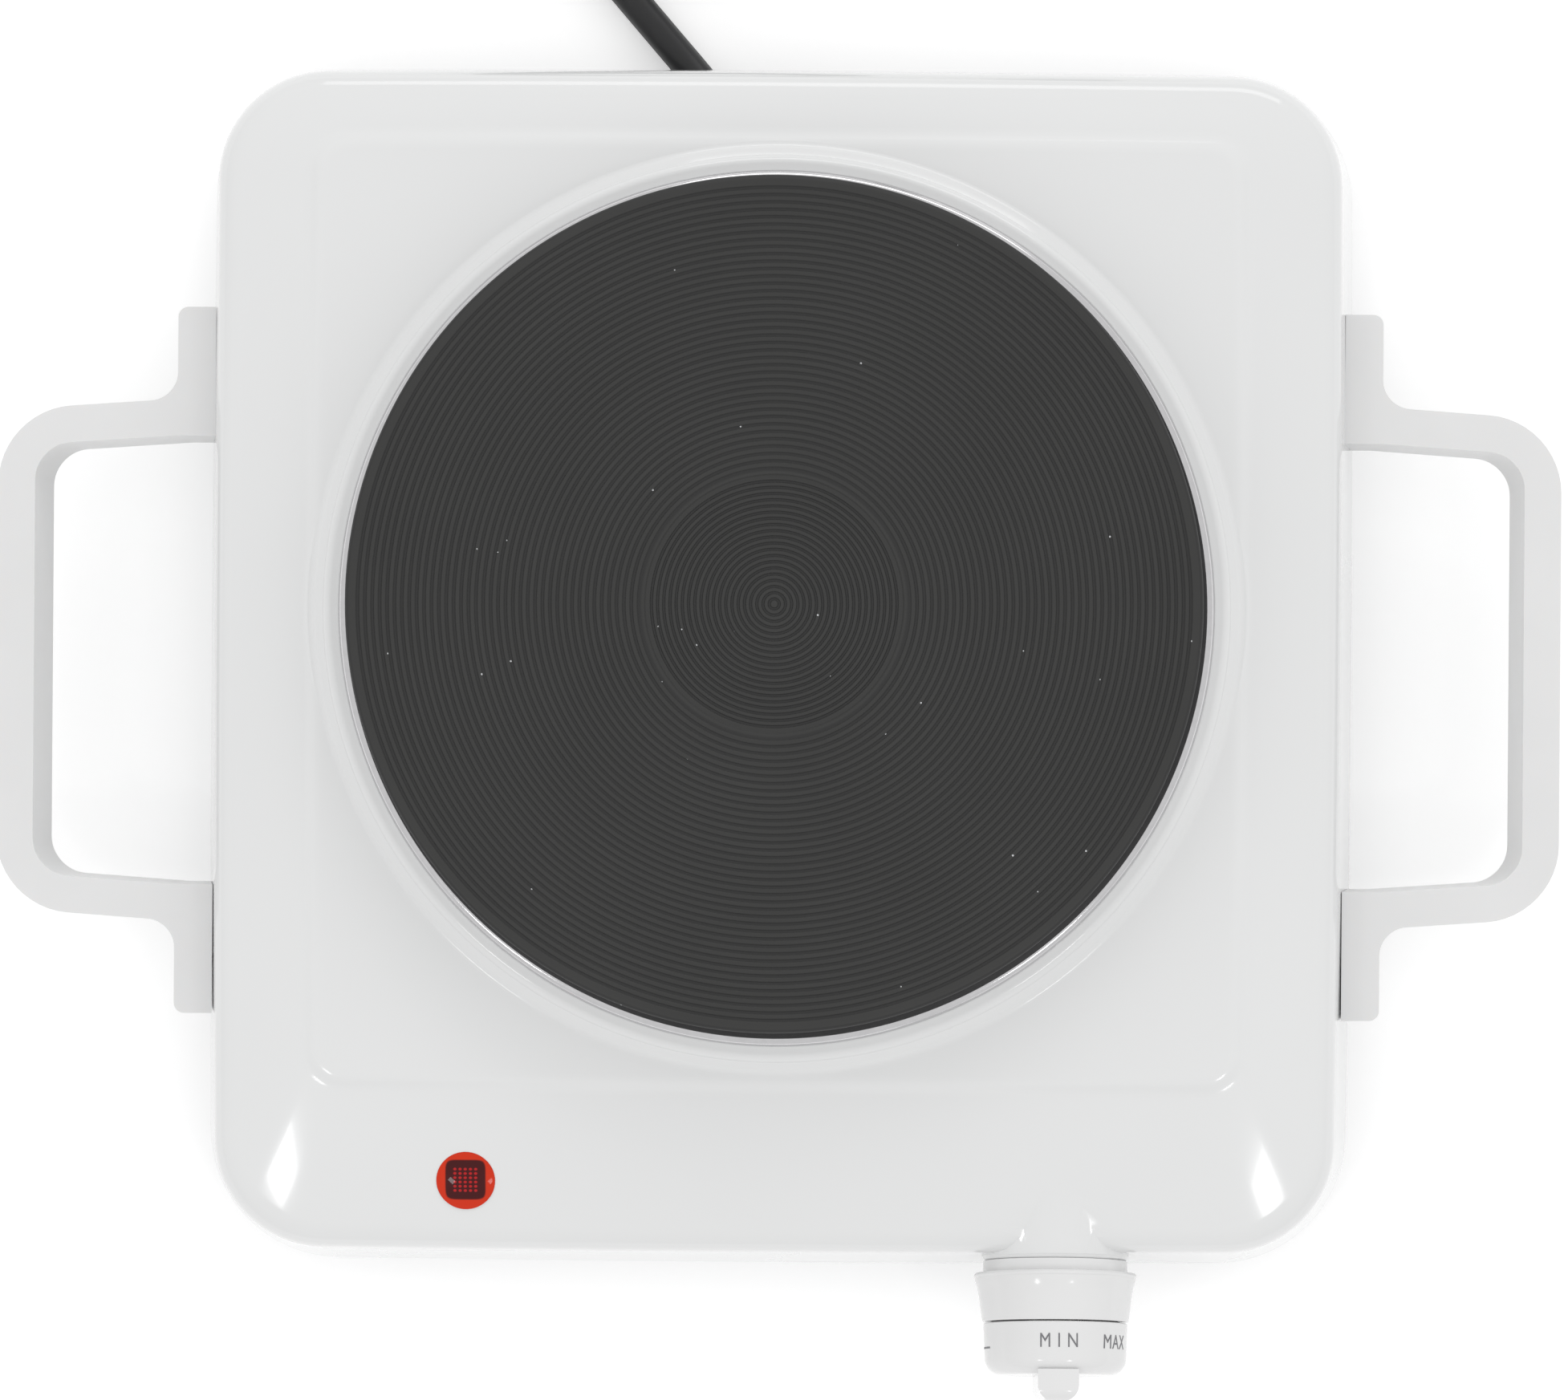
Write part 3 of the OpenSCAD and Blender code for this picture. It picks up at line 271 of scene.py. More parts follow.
class Wire:
    """A value socket on which Python arithmetic adds Math nodes."""

    def __init__(self, paint: "Paint", socket: bpy.types.NodeSocket) -> None:
        """Wraps a socket of a paint's node tree."""
        self.paint = paint
        self.socket = socket

    def _math(self, operation: str, *values: "Wire | float") -> "Wire":
        """Adds one Math node on the given values."""
        return self.paint.node("ShaderNodeMath", {"operation": operation}, dict(enumerate(values)))

    def __add__(self, other: "Wire | float") -> "Wire":
        """Sum."""
        return self._math("ADD", self, other)

    def __sub__(self, other: "Wire | float") -> "Wire":
        """Difference."""
        return self._math("SUBTRACT", self, other)

    def __rsub__(self, other: float) -> "Wire":
        """Difference from a number."""
        return self._math("SUBTRACT", other, self)

    def __mul__(self, other: "Wire | float") -> "Wire":
        """Product."""
        return self._math("MULTIPLY", self, other)

    def __truediv__(self, other: "Wire | float") -> "Wire":
        """Quotient."""
        return self._math("DIVIDE", self, other)

    def __pow__(self, other: "Wire | float") -> "Wire":
        """Power."""
        return self._math("POWER", self, other)

    def __gt__(self, other: "Wire | float") -> "Wire":
        """One where this value is the larger, else nothing."""
        return self._math("GREATER_THAN", self, other)

    def __lt__(self, other: "Wire | float") -> "Wire":
        """One where this value is the smaller, else nothing."""
        return self._math("LESS_THAN", self, other)

    __radd__ = __add__
    __rmul__ = __mul__

    def size(self) -> "Wire":
        """Value without its sign."""
        return self._math("ABSOLUTE", self)

    def fraction(self) -> "Wire":
        """What is left over a whole number."""
        return self._math("FRACT", self)

    def ramp(self, low: float, high: float) -> "Wire":
        """Smooth rise from 0 to 1 between two values."""
        return self.paint.node("ShaderNodeMapRange", {"interpolation_type": "SMOOTHSTEP"},
                               {"Value": self, "From Min": low, "From Max": high})


class Paint:
    """One material's node tree, with one way to add any node."""

    def __init__(self, name: str) -> None:
        """Makes an empty material of this name with a Principled shader."""
        self.material = bpy.data.materials.new(f"{name}_finish")
        self.material.use_nodes = True
        self.tree = self.material.node_tree
        self.tree.nodes.clear()
        self.shader = self.tree.nodes.new("ShaderNodeBsdfPrincipled")
        end = self.tree.nodes.new("ShaderNodeOutputMaterial")
        self.tree.links.new(self.shader.outputs[0], end.inputs["Surface"])

    def node(self, kind: str, settings: dict[str, Any] | None = None,
             inputs: dict[str | int, Any] | None = None, out: str | int = 0) -> Wire:
        """Adds a node.

        Args:
            kind: Type of the node.
            settings: Its properties, which are set first.
            inputs: Values or wires of its sockets.
            out: The output that is returned.

        Returns:
            That output as a wire.
        """
        made = self.tree.nodes.new(kind)
        for key, value in (settings or {}).items():
            setattr(made, key, value)
        for key, value in (inputs or {}).items():
            self.feed(made.inputs[key], value)
        return Wire(self, made.outputs[out])

    def feed(self, socket: bpy.types.NodeSocket, value: Any) -> None:
        """Gives a socket a wire, or a number or colour of its own."""
        if isinstance(value, Wire):
            self.tree.links.new(value.socket, socket)
        elif isinstance(value, tuple) and len(value) == 3 and socket.type == "RGBA":
            socket.default_value = (*value, 1.0)
        else:
            socket.default_value = value

    def finish(self, **inputs: Any) -> bpy.types.Material:
        """Sets the Principled shader's sockets, with low lines for spaces, and returns the material."""
        for key, value in inputs.items():
            self.feed(self.shader.inputs[key.replace("_", " ")], value)
        return self.material

    def place(self, at: Point = (0, 0, 0), scale: Point = (1, 1, 1)) -> Wire:
        """Object coordinates in millimetres from a point, then stretched."""
        where = self.node("ShaderNodeTexCoord", out="Object")
        moved = self.node("ShaderNodeVectorMath", {"operation": "SUBTRACT"}, {0: where, 1: Vector(at) * MM})
        return self.node("ShaderNodeVectorMath", {"operation": "MULTIPLY"},
                         {0: moved, 1: Vector(scale) / MM})

    def axes(self, where: Wire) -> tuple[Wire, Wire, Wire]:
        """The three parts of a vector."""
        split = self.node("ShaderNodeSeparateXYZ", {}, {0: where}).socket.node
        return tuple(Wire(self, split.outputs[i]) for i in range(3))

    def noise(self, where: Wire, scale: float, detail: float = 3.0, rough: float = 0.5) -> Wire:
        """Noise of a number of waves to the millimetre."""
        return self.node("ShaderNodeTexNoise", {},
                         {"Vector": where, "Scale": scale, "Detail": detail, "Roughness": rough})

    def mix(self, factor: Wire | float, low: Any, high: Any) -> Wire:
        """Colour between two colours."""
        made = self.tree.nodes.new("ShaderNodeMix")
        made.data_type = "RGBA"
        for socket, value in zip((made.inputs[0], made.inputs[6], made.inputs[7]), (factor, low, high)):
            self.feed(socket, value)
        return Wire(self, made.outputs[2])

    def bump(self, height: Wire, distance: float, strength: float) -> Wire:
        """Bump of a height from 0 to 1 that stands for a distance in millimetres."""
        return self.node("ShaderNodeBump", {},
                         {"Height": height, "Distance": distance * MM, "Strength": strength})


# ---------- finishes ----------

@dataclass(frozen=True)
class Enamel:
    """Glossy fired enamel on pressed steel, with a faint orange peel.

    Attributes:
        name: Name of the material.
        colour: Base colour.
        rough: Roughness of the gloss.
    """

    name: str = "white_enamel"
    colour: Colour = (0.825, 0.83, 0.83)
    rough: float = 0.08

    def make(self) -> bpy.types.Material:
        """Builds the material."""
        paint = Paint(self.name)
        where = paint.place()
        cloud = paint.noise(where, 0.012, 4.0)
        peel = paint.noise(where, 0.22, 2.0)
        shade = tuple(c * 0.965 for c in self.colour)
        return paint.finish(
            Base_Color=paint.mix(cloud, shade, self.colour), Roughness=self.rough + 0.05 * cloud,
            Normal=paint.bump(peel, 0.0015, 0.5), Coat_Weight=0.2, Coat_Roughness=0.03)


@dataclass(frozen=True)
class Iron:
    """Cast iron under a dark heat-proof coating, with a few grains of dust, and painted shade in the floors
    of its turned rings.

    Attributes:
        name: Name of the material.
        middle: Centre of the turned rings.
        colour: Base colour.
        top: Height of the cooking surface.
        dish: Depth of the dish in its middle.
        dish_r: Radius of the dish.
        groove: Depth of the turned rings.
    """

    name: str = "plate_iron"
    middle: Point = (0, 0, 0)
    colour: Colour = (0.033, 0.033, 0.032)
    top: float = 77.0
    dish: float = 0.4
    dish_r: float = 28.0
    groove: float = 0.2

    def make(self) -> bpy.types.Material:
        """Builds the material."""
        paint = Paint(self.name)
        where = paint.place(self.middle)
        x, y, z = paint.axes(where)
        radius = (x * x + y * y) ** 0.5
        # Painted shade: points that lie below the cooking face, the floors of the turned rings, turn darker
        # the deeper they lie.
        face = self.top - self.dish * (radius < self.dish_r)
        depth = ((face - z) / self.groove).ramp(0.1, 0.9)
        along = paint.node("ShaderNodeCombineXYZ", {}, {0: radius, 1: 0.0, 2: 0.0})
        ring = paint.noise(along, 0.35, 5.0, 0.7)
        grit = paint.noise(where, 2.2, 4.0, 0.7)
        cloud = paint.noise(where, 0.03, 3.0)
        tone = paint.mix(0.55 * ring + 0.45 * cloud, tuple(c * 0.72 for c in self.colour),
                         tuple(c * 1.35 for c in self.colour))
        specks = paint.node("ShaderNodeTexVoronoi", {"feature": "F1"}, {"Vector": where, "Scale": 0.16})
        near = specks < 0.035
        # The base colour takes up to 42 per cent of a near-black painted shade in the groove floors, then the
        # light dust grains.
        return paint.finish(
            Base_Color=paint.mix(near * (cloud > 0.5), paint.mix(depth * 0.42, tone, (0.008, 0.008, 0.009)),
                                 (0.55, 0.56, 0.57)),
            Roughness=0.42 + 0.16 * grit, Metallic=0.25, Normal=paint.bump(grit, 0.03, 0.7))


@dataclass(frozen=True)
class Metal:
    """Bright or dull metal with fine wear.

    Attributes:
        name: Name of the material.
        colour: Base colour.
        rough: Mean roughness.
        grain: Stretch of the rolling marks, one where there are none.
        spangle: How strongly zinc crystals show.
    """

    name: str
    colour: Colour = (0.62, 0.62, 0.63)
    rough: float = 0.3
    grain: float = 1.0
    spangle: float = 0.0

    def make(self) -> bpy.types.Material:
        """Builds the material."""
        paint = Paint(self.name)
        where = paint.place(scale=(1.0, self.grain, 1.0))
        wear = paint.noise(where, 0.6, 5.0, 0.6)
        low = tuple(c * 0.84 for c in self.colour)
        tone = wear
        if self.spangle:
            cells = paint.node("ShaderNodeTexVoronoi", {"feature": "F1"}, {"Vector": where, "Scale": 0.11},
                               out="Color")
            shade, _, _ = paint.axes(cells)
            tone = wear * (1 - self.spangle) + shade * self.spangle
        return paint.finish(
            Base_Color=paint.mix(tone, low, self.colour), Metallic=1.0,
            Roughness=self.rough * 0.75 + self.rough * 0.5 * tone, Normal=paint.bump(wear, 0.006, 0.5))


@dataclass(frozen=True)
class Moulded:
    """Moulded plastic, rubber or ceramic with a fine skin.

    Attributes:
        name: Name of the material.
        colour: Base colour.
        rough: Mean roughness.
        grain: Waves of the skin to the millimetre.
        depth: Depth of the skin in millimetres.
        glow: Share of light that goes through the skin.
    """

    name: str
    colour: Colour
    rough: float = 0.35
    grain: float = 1.4
    depth: float = 0.01
    glow: float = 0.0

    def make(self) -> bpy.types.Material:
        """Builds the material."""
        paint = Paint(self.name)
        where = paint.place()
        skin = paint.noise(where, self.grain, 3.0)
        cloud = paint.noise(where, 0.04, 3.0)
        return paint.finish(
            Base_Color=paint.mix(cloud, tuple(c * 0.93 for c in self.colour), self.colour),
            Roughness=self.rough * 0.9 + self.rough * 0.2 * cloud, Normal=paint.bump(skin, self.depth, 0.5),
            Subsurface_Weight=self.glow, Subsurface_Radius=(0.6, 0.5, 0.4), Subsurface_Scale=2 * MM)


@dataclass(frozen=True)
class Stripe:
    """Sleeve of the earth wire, with a green stripe wound round yellow."""

    name: str = "green_yellow_wire"

    def make(self) -> bpy.types.Material:
        """Builds the material."""
        paint = Paint(self.name)
        x, y, z = paint.axes(paint.place())
        band = ((x * 0.12 + z * 0.2 + y * 0.05).fraction() > 0.5)
        skin = paint.noise(paint.place(), 2.0)
        return paint.finish(Base_Color=paint.mix(band, (0.62, 0.55, 0.03), (0.02, 0.22, 0.04)),
                            Roughness=0.42, Normal=paint.bump(skin, 0.01, 0.5))


@dataclass(frozen=True)
class LampRed:
    """Red lens with a square of small raised dots under its dome.

    Attributes:
        name: Name of the material.
        middle: Middle of the lens in millimetres.
        half: Half side of the square of dots.
        frame: Half side of the dark square round it.
        columns: Dots across.
        rows: Dots down.
    """

    name: str = "red_lens"
    middle: Point = (0, 0, 0)
    half: float = 2.85
    frame: float = 4.4
    columns: int = 5
    rows: int = 6

    def make(self) -> bpy.types.Material:
        """Builds the material."""
        paint = Paint(self.name)
        x, y, _ = paint.axes(paint.place(self.middle))
        across = (x + self.half) * (self.columns / (2 * self.half))
        down = (y + self.half) * (self.rows / (2 * self.half))
        off_x, off_y = across.fraction() - 0.5, down.fraction() - 0.5
        dot = 1 - (off_x * off_x + off_y * off_y).ramp(0.04, 0.16)
        inside = self._square(x, y, self.half, 8.0)
        frame_band = self._square(x, y, self.frame, 6.0)
        base = paint.mix(frame_band, (0.66, 0.030, 0.004), (0.060, 0.002, 0.003))
        colour = paint.mix(inside * dot, base, (0.50, 0.012, 0.014))
        return paint.finish(Base_Color=colour, Roughness=0.3, Specular_IOR_Level=0.05,
                            Normal=paint.bump(dot * inside, 0.25, 0.5),
                            Coat_Weight=0.4, Coat_Roughness=0.02, Coat_IOR=1.5)

    @staticmethod
    def _square(x: Wire, y: Wire, half: float, power: float) -> Wire:
        """One inside a rounded square of this half side, with a soft edge."""
        reach = (x.size() / half) ** power + (y.size() / half) ** power
        return 1 - reach.ramp(0.75, 1.3)


class Finish(Enum):
    """Every finish of the hot plate, by the record's slot."""

    ENAMEL = Enamel()
    IRON = Iron(middle=(-0.3, HOB_Y + 12.2, 0))
    RING = Metal("ring_steel", (0.66, 0.655, 0.665), 0.11, 1.0)
    GALVANISED = Metal("galvanised_steel", (0.52, 0.54, 0.55), 0.42, 1.0, 0.55)
    BASE = Metal("base_steel", (0.50, 0.51, 0.52), 0.40, 6.0, 0.4)
    SCREW = Metal("zinc_screw", (0.60, 0.60, 0.58), 0.28)
    NICKEL = Metal("nickel", (0.66, 0.62, 0.56), 0.2)
    WIRE = Metal("resistance_wire", (0.30, 0.28, 0.27), 0.5)
    BRONZE = Metal("spring_bronze", (0.62, 0.38, 0.16), 0.3)
    KNOB = Moulded("white_plastic", (0.85, 0.85, 0.85), 0.12, 1.2, 0.003)
    HANDLE = Moulded("handle_plastic", (0.83, 0.83, 0.83), 0.30, 1.8, 0.008, 0.1)
    FOOT = Moulded("foot_rubber", (0.60, 0.60, 0.58), 0.62, 1.5, 0.03)
    MAGNESIA = Moulded("magnesia", (0.62, 0.57, 0.48), 0.9, 2.5, 0.12)
    STEATITE = Moulded("steatite", (0.66, 0.62, 0.54), 0.5, 2.0, 0.02)
    BLACK = Moulded("black_plastic", (0.014, 0.014, 0.015), 0.32, 1.6, 0.02)
    RUBBER = Moulded("black_rubber", (0.012, 0.012, 0.013), 0.40, 1.0, 0.03)
    BROWN = Moulded("brown_wire", (0.10, 0.035, 0.015), 0.42)
    BLUE = Moulded("blue_wire", (0.02, 0.09, 0.36), 0.42)
    GLASS_FIBRE = Moulded("glass_fibre", (0.60, 0.57, 0.48), 0.8, 3.5, 0.12)
    NEON = Moulded("neon_glass", (0.55, 0.30, 0.20), 0.08, 0.5, 0.005)
    INK = Moulded("dial_ink", (0.20, 0.20, 0.21), 0.5, 2.5, 0.01)
    EARTH = Stripe()
    LENS = LampRed(middle=(-67.5, HOB_Y - 114.2 + 0.25, 0))

    def material(self) -> bpy.types.Material:
        """The material of this finish, built on its first use."""
        known = bpy.data.materials.get(f"{self.value.name}_finish")
        return known or self.value.make()


def dress(obj: bpy.types.Object, finish: Finish, body: str | None = None) -> None:
    """Gives an object its finish, and a new piece its body and slot.

    Args:
        obj: The piece or CAD node.
        finish: Its finish.
        body: The body that a new piece rides on.
    """
    if body is None and len(obj.material_slots):
        for held in obj.material_slots:
            held.material = finish.material()
        return
    obj.data.materials.clear()
    obj.data.materials.append(finish.material())
    if body is not None:
        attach(obj, body)
        LOG.info("%s rides on %s in %s", obj.name, body, finish.value.name)


# ---------- cord ----------

@dataclass
class Cord:
    """The mains cord in one length, from its bushing through the stored coil to the plug.

    Attributes:
        diameter: Thickness of the cord.
        coil: Middle of the coil.
        inner: Radius of the coil's inner turns.
        outer: Radius of its outer turns.
        low: Height of the lower turns.
        high: Height of the upper turns.
        start: Angle at which the cord runs into the coil.
        end: Angle at which it leaves the coil, three turns on.
        inwards: Turned degrees between which it steps from the outer to the inner turns.
        upwards: Turned degrees between which it climbs on the lower turns.
        outwards: Turned degrees between which it steps back to the outer turns.
        lead: Route from the bushing to the coil, in the cover's frame.
        tail: Route from the coil to the plug, in the cover's frame.
    """

    diameter: float = 7.6
    coil: tuple[float, float] = (-29.0, 226.0)
    inner: float = 38.2
    outer: float = 45.8
    low: float = 3.8
    high: float = 11.4
    start: float = 203.7
    end: float = -931.6
    inwards: tuple[float, float] = (100.0, 145.0)
    upwards: tuple[float, float] = (405.0, 458.0)
    outwards: tuple[float, float] = (716.0, 766.0)
    lead: tuple[Point, ...] = (
        (-2.6, 84, 20), (-2.6, 88, 20), (-3, 96, 19.5), (-4.3, 103.9, 17.9), (-6.4, 111.6, 15.2),
        (-8.9, 118.2, 11.9), (-11.9, 124.4, 8.6), (-16.1, 131.3, 5.9), (-21, 137.6, 4.3), (-26.2, 143.7, 3.9),
        (-37, 156.3, 3.8), (-48, 169.2, 3.8), (-58, 181, 3.8), (-66, 194, 3.8), (-71, 207.6, 3.8))
    tail: tuple[Point, ...] = (
        (-68, 250.1, 11.4), (-62.1, 259.9, 11.3), (-54.6, 268.6, 10.6), (-45.9, 276.1, 8.6),
        (-36.1, 282, 6.4), (-25.6, 286.4, 4.7), (-14.4, 289.1, 4), (-3, 290, 5.5), (6, 290, 8.8),
        (11, 290, 11.5), (16, 290, 14.2), (26, 290, 17.8), (36, 290, 19))

    def turns(self) -> list[Point]:
        """Points of the coil's turns: lower outer, lower inner, upper inner and upper outer."""
        step = 6.0
        count = round((self.start - self.end) / step)
        points = []
        for i in range(1, count):
            angle = self.start + (self.end - self.start) * i / count
            inner_share = self._ease(-angle, *self.inwards) - self._ease(-angle, *self.outwards)
            radius = self.outer + (self.inner - self.outer) * inner_share
            height = self.low + (self.high - self.low) * self._ease(-angle, *self.upwards)
            points.append((self.coil[0] + radius * math.cos(math.radians(angle)),
                           self.coil[1] + radius * math.sin(math.radians(angle)), height))
        return points

    @staticmethod
    def _ease(value: float, low: float, high: float) -> float:
        """Smooth rise from 0 to 1 between two values."""
        t = min(1.0, max(0.0, (value - low) / (high - low)))
        return t * t * (3 - 2 * t)

    @staticmethod
    def _smooth(points: Sequence[Point], parts: int) -> list[Vector]:
        """Rounds a route through its points, with a number of parts between each two."""
        spots = [Vector(p) for p in points]
        ends = [2 * spots[0] - spots[1]] + spots + [2 * spots[-1] - spots[-2]]
        made = []
        for a, b, c, d in zip(ends, ends[1:], ends[2:], ends[3:]):
            for i in range(parts):
                t = i / parts
                made.append(0.5 * (2 * b + (c - a) * t + (2 * a - 5 * b + 4 * c - d) * t * t
                                   + (3 * b - a - 3 * c + d) * t ** 3))
        return made + [spots[-1]]

    def build(self) -> bpy.types.Object:
        """Returns:
            The cord's curve.
        """
        route = self._smooth(list(self.lead) + self.turns() + list(self.tail), 3)
        line = [(p + Vector((0, HOB_Y, 0))) * MM for p in route]
        curve = bpy.data.curves.new("mains_cord", "CURVE")
        curve.dimensions = "3D"
        curve.bevel_depth = self.diameter / 2 * MM
        curve.bevel_resolution = 5
        spline = curve.splines.new("POLY")
        spline.points.add(len(line) - 1)
        for spot, p in zip(spline.points, line):
            spot.co = (*p, 1.0)
        spline.use_smooth = True
        cord = bpy.data.objects.new("mains_cord", curve)
        bpy.context.scene.collection.objects.link(cord)
        length = sum((b - a).length for a, b in zip(line, line[1:]))
        dress(cord, Finish.RUBBER, "hob")
        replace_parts(cord, "power_cord", "cord_coil", "plug_tail")
        LOG.info("cord of %.3f m", length)
        return cord


# ---------- cover ----------

@dataclass
class Cover:
    """The pressed cover: leaning walls, sloped border, raised panel, round collar and knob boss.

    Attributes:
        half_w: Half width at the rim.
        half_d: Half depth at the rim.
        rim_z: Height of the rim.
        wall_h: Height of the leaning wall up to where the border's slope meets it.
        wall_in: Lean of the wall over that height.
        corner_r: Corner radius at the rim.
        bow: Outward bow of each side.
        fall: Tilt of the border towards the front, in degrees.
        shoulder: Steps inwards and upwards that round the wall into the border.
        shoulder_h: Height of those steps together.
        border_w: Width that the border's insets take.
        border_pull: How far the border draws in by scaling, in width and depth.
        border_steps: Steps over which the border levels out.
        panel_y: Distance of the panel's middle behind the cover's middle.
        panel_low_z: Height at the panel's foot.
        panel_z: Height of the panel.
        panel_edge: Steps inwards, and share of its rise, that round the panel's edge.
        opening_y: Distance of the opening behind the cover's middle.
        opening_r: Radius of the opening.
        collar_r: Radius of the collar's hollow foot.
        collar_top_r: Radius at which the collar's crown starts.
        collar_z: Height of the collar.
        boss_back: Length of the knob boss into the cover.
        boss_back_r: Its radius there.
        boss_r: Its radius at the front.
        sheet: Thickness of the sheet.
    """

    half_w: float = 131.4
    half_d: float = 137.4
    rim_z: float = 12.0
    wall_h: float = 39.0
    wall_in: float = 6.87
    corner_r: float = 29.0
    bow: float = 0.8
    fall: float = 0.79
    shoulder: tuple[tuple[float, float], ...] = (
        (0.28, 1.9), (0.55, 1.8), (0.9, 1.6), (1.25, 1.2), (1.65, 0.85), (2.1, 0.5))
    shoulder_h: float = 7.85
    border_w: float = 9.6
    border_pull: tuple[float, float] = (0.964, 0.931)
    border_steps: int = 6
    panel_y: float = 11.4
    panel_low_z: float = 61.7
    panel_z: float = 62.9
    panel_edge: tuple[tuple[float, float], ...] = (
        (1.0, 0.08), (0.9, 0.22), (0.8, 0.3), (0.8, 0.25), (1.0, 0.12), (1.1, 0.03))
    opening_y: float = 11.6
    opening_r: float = 89.6
    collar_r: float = 102.3
    collar_top_r: float = 96.9
    collar_z: float = 66.2
    boss_back: float = 26.0
    boss_back_r: float = 20.4
    boss_r: float = 16.36
    sheet: float = 0.8

    def build(self) -> bpy.types.Object:
        """Presses the cover, opens it for the plate and hollows it to its sheet.

        Returns:
            The finished cover.
        """
        cover = self._skirt()
        low, foot_z, crown = 59, self.panel_z + 1.97, 2.3
        collar = turned("cover_collar", [(0, low), (self.collar_r, low)]
                        + arc(self.collar_r, foot_z, 2.0, 270, 215, 6)
                        + arc(self.collar_top_r, self.collar_z - crown, crown, 20, 90, 8)
                        + [(0, self.collar_z)], 192)
        axis = Matrix.Translation(Vector((0, self.opening_y + HOB_Y, 0)) * MM)
        combine(cover, place(collar, axis), "UNION")
        combine(cover, self._boss(), "UNION")
        tool = turned("opening_tool", [(0, 0), (self.opening_r, 0), (self.opening_r, 90), (0, 90)], 192)
        combine(cover, place(tool, axis), "DIFFERENCE")
        hold(cover)
        bpy.ops.object.mode_set(mode="EDIT")
        work = Bench(cover)
        work.pick(lambda p: p.z < self.rim_z + 0.05)
        bpy.ops.mesh.delete(type="FACE")
        work.pick(lambda p: (p - Vector((0, self.opening_y + HOB_Y, p.z))).length < self.opening_r + 0.02,
                  facing=lambda n: abs(n.z) < 0.2)
        bpy.ops.mesh.delete(type="FACE")
        work.done(32)
        modify(cover, "SOLIDIFY", thickness=self.sheet * MM, offset=-1.0, use_even_offset=False)
        hold(cover)
        bpy.ops.object.shade_smooth_by_angle(angle=math.radians(32))
        return modify(cover, "WEIGHTED_NORMAL", mode="FACE_AREA", weight=80, keep_sharp=True)

    def _skirt(self) -> bpy.types.Object:
        """Walls, border and panel, drawn up from the outline by insets."""
        work = Bench.begin("enamel_cover", "plane", at=(0, 0, self.rim_z), size=2,
                           scale=(self.half_w - self.bow, self.half_d - self.bow, 1))
        work.pick(lambda p: True, "VERT").bevel(self.corner_r, 16, corners=True)
        straight = 40.0
        work.pick_edges(lambda a, b: (a - b).length > straight)
        bpy.ops.mesh.subdivide(number_cuts=15)
        mesh = bmesh.from_edit_mesh(work.obj.data)
        for v in mesh.verts:
            x, y = v.co.x / MM, v.co.y / MM
            v.co.x += math.copysign(self.bow * max(0.0, 1 - (y / self.half_d) ** 2), x) * MM
            v.co.y += math.copysign(self.bow * max(0.0, 1 - (x / self.half_w) ** 2), y) * MM
        bmesh.update_edit_mesh(work.obj.data)
        work.pick(lambda p: True, "FACE").extrude((0, 0, 0.2))
        self._draw(work, (self.wall_in, self.wall_h - 0.2))
        top = self.rim_z + self.wall_h
        work.turn(self.fall, "X", (0, 0, top))
        self._draw(work, *self.shoulder)
        count = self.border_steps
        climb = self.panel_low_z - top - self.shoulder_h
        for i in range(count):
            t = (i + 0.5) / count
            work.inset(self.border_w / count, climb * (1.25 - 0.5 * t) / count)
            work.stretch((self.border_pull[0] ** (1 / count), self.border_pull[1] ** (1 / count), 1))
            work.move((0, self.panel_y / count, 0))
            work.turn(-self.fall / count, "X", (0, 0, top + self.shoulder_h))
        rise = self.panel_z - self.panel_low_z
        self._draw(work, *((inwards, share * rise) for inwards, share in self.panel_edge))
        bpy.ops.mesh.select_mode(type="EDGE")
        bpy.ops.mesh.select_all(action="DESELECT")
        bpy.ops.mesh.select_non_manifold()
        bpy.ops.mesh.edge_face_add()
        work.weld()
        work.pick_all().move((0, HOB_Y, 0))
        return work.done(32)

    def _draw(self, work: Bench, *steps: tuple[float, float]) -> None:
        """Draws the cap in and up in steps, keeping more of its corner radius than plain insets do."""
        by_inset, by_scale = 0.7, 0.3
        for inwards, upwards in steps:
            pull = by_scale * inwards
            work.inset(by_inset * inwards, upwards)
            work.stretch(((self.half_w - pull) / self.half_w, (self.half_d - pull) / self.half_d, 1))

    def _boss(self) -> bpy.types.Object:
        """The round boss behind the knob, with a rounded front edge."""
        profile = [(0, -self.boss_back), (self.boss_back_r, -self.boss_back), (self.boss_r, -1.0)]
        profile += arc(15.2, -1.0, 1.0, 10, 90, 6) + [(0, 0)]
        return place(turned("knob_boss", profile, 96), KNOB_FRAME)


def frame_at(x: float, y: float, z: float, lean: float) -> Matrix:
    """Frame at a point of the cover whose z axis leans about x by an angle in degrees."""
    return Matrix.Translation(Vector((x, y + HOB_Y, z)) * MM) @ Matrix.Rotation(math.radians(lean), 4, "X")


KNOB_FRAME = frame_at(62.7, -133.1, 43.0, 90 - 10.4)
LAMP_FRAME = frame_at(-67.5, -114.2, 58.9, 8.3)


# ---------- plate and ring ----------

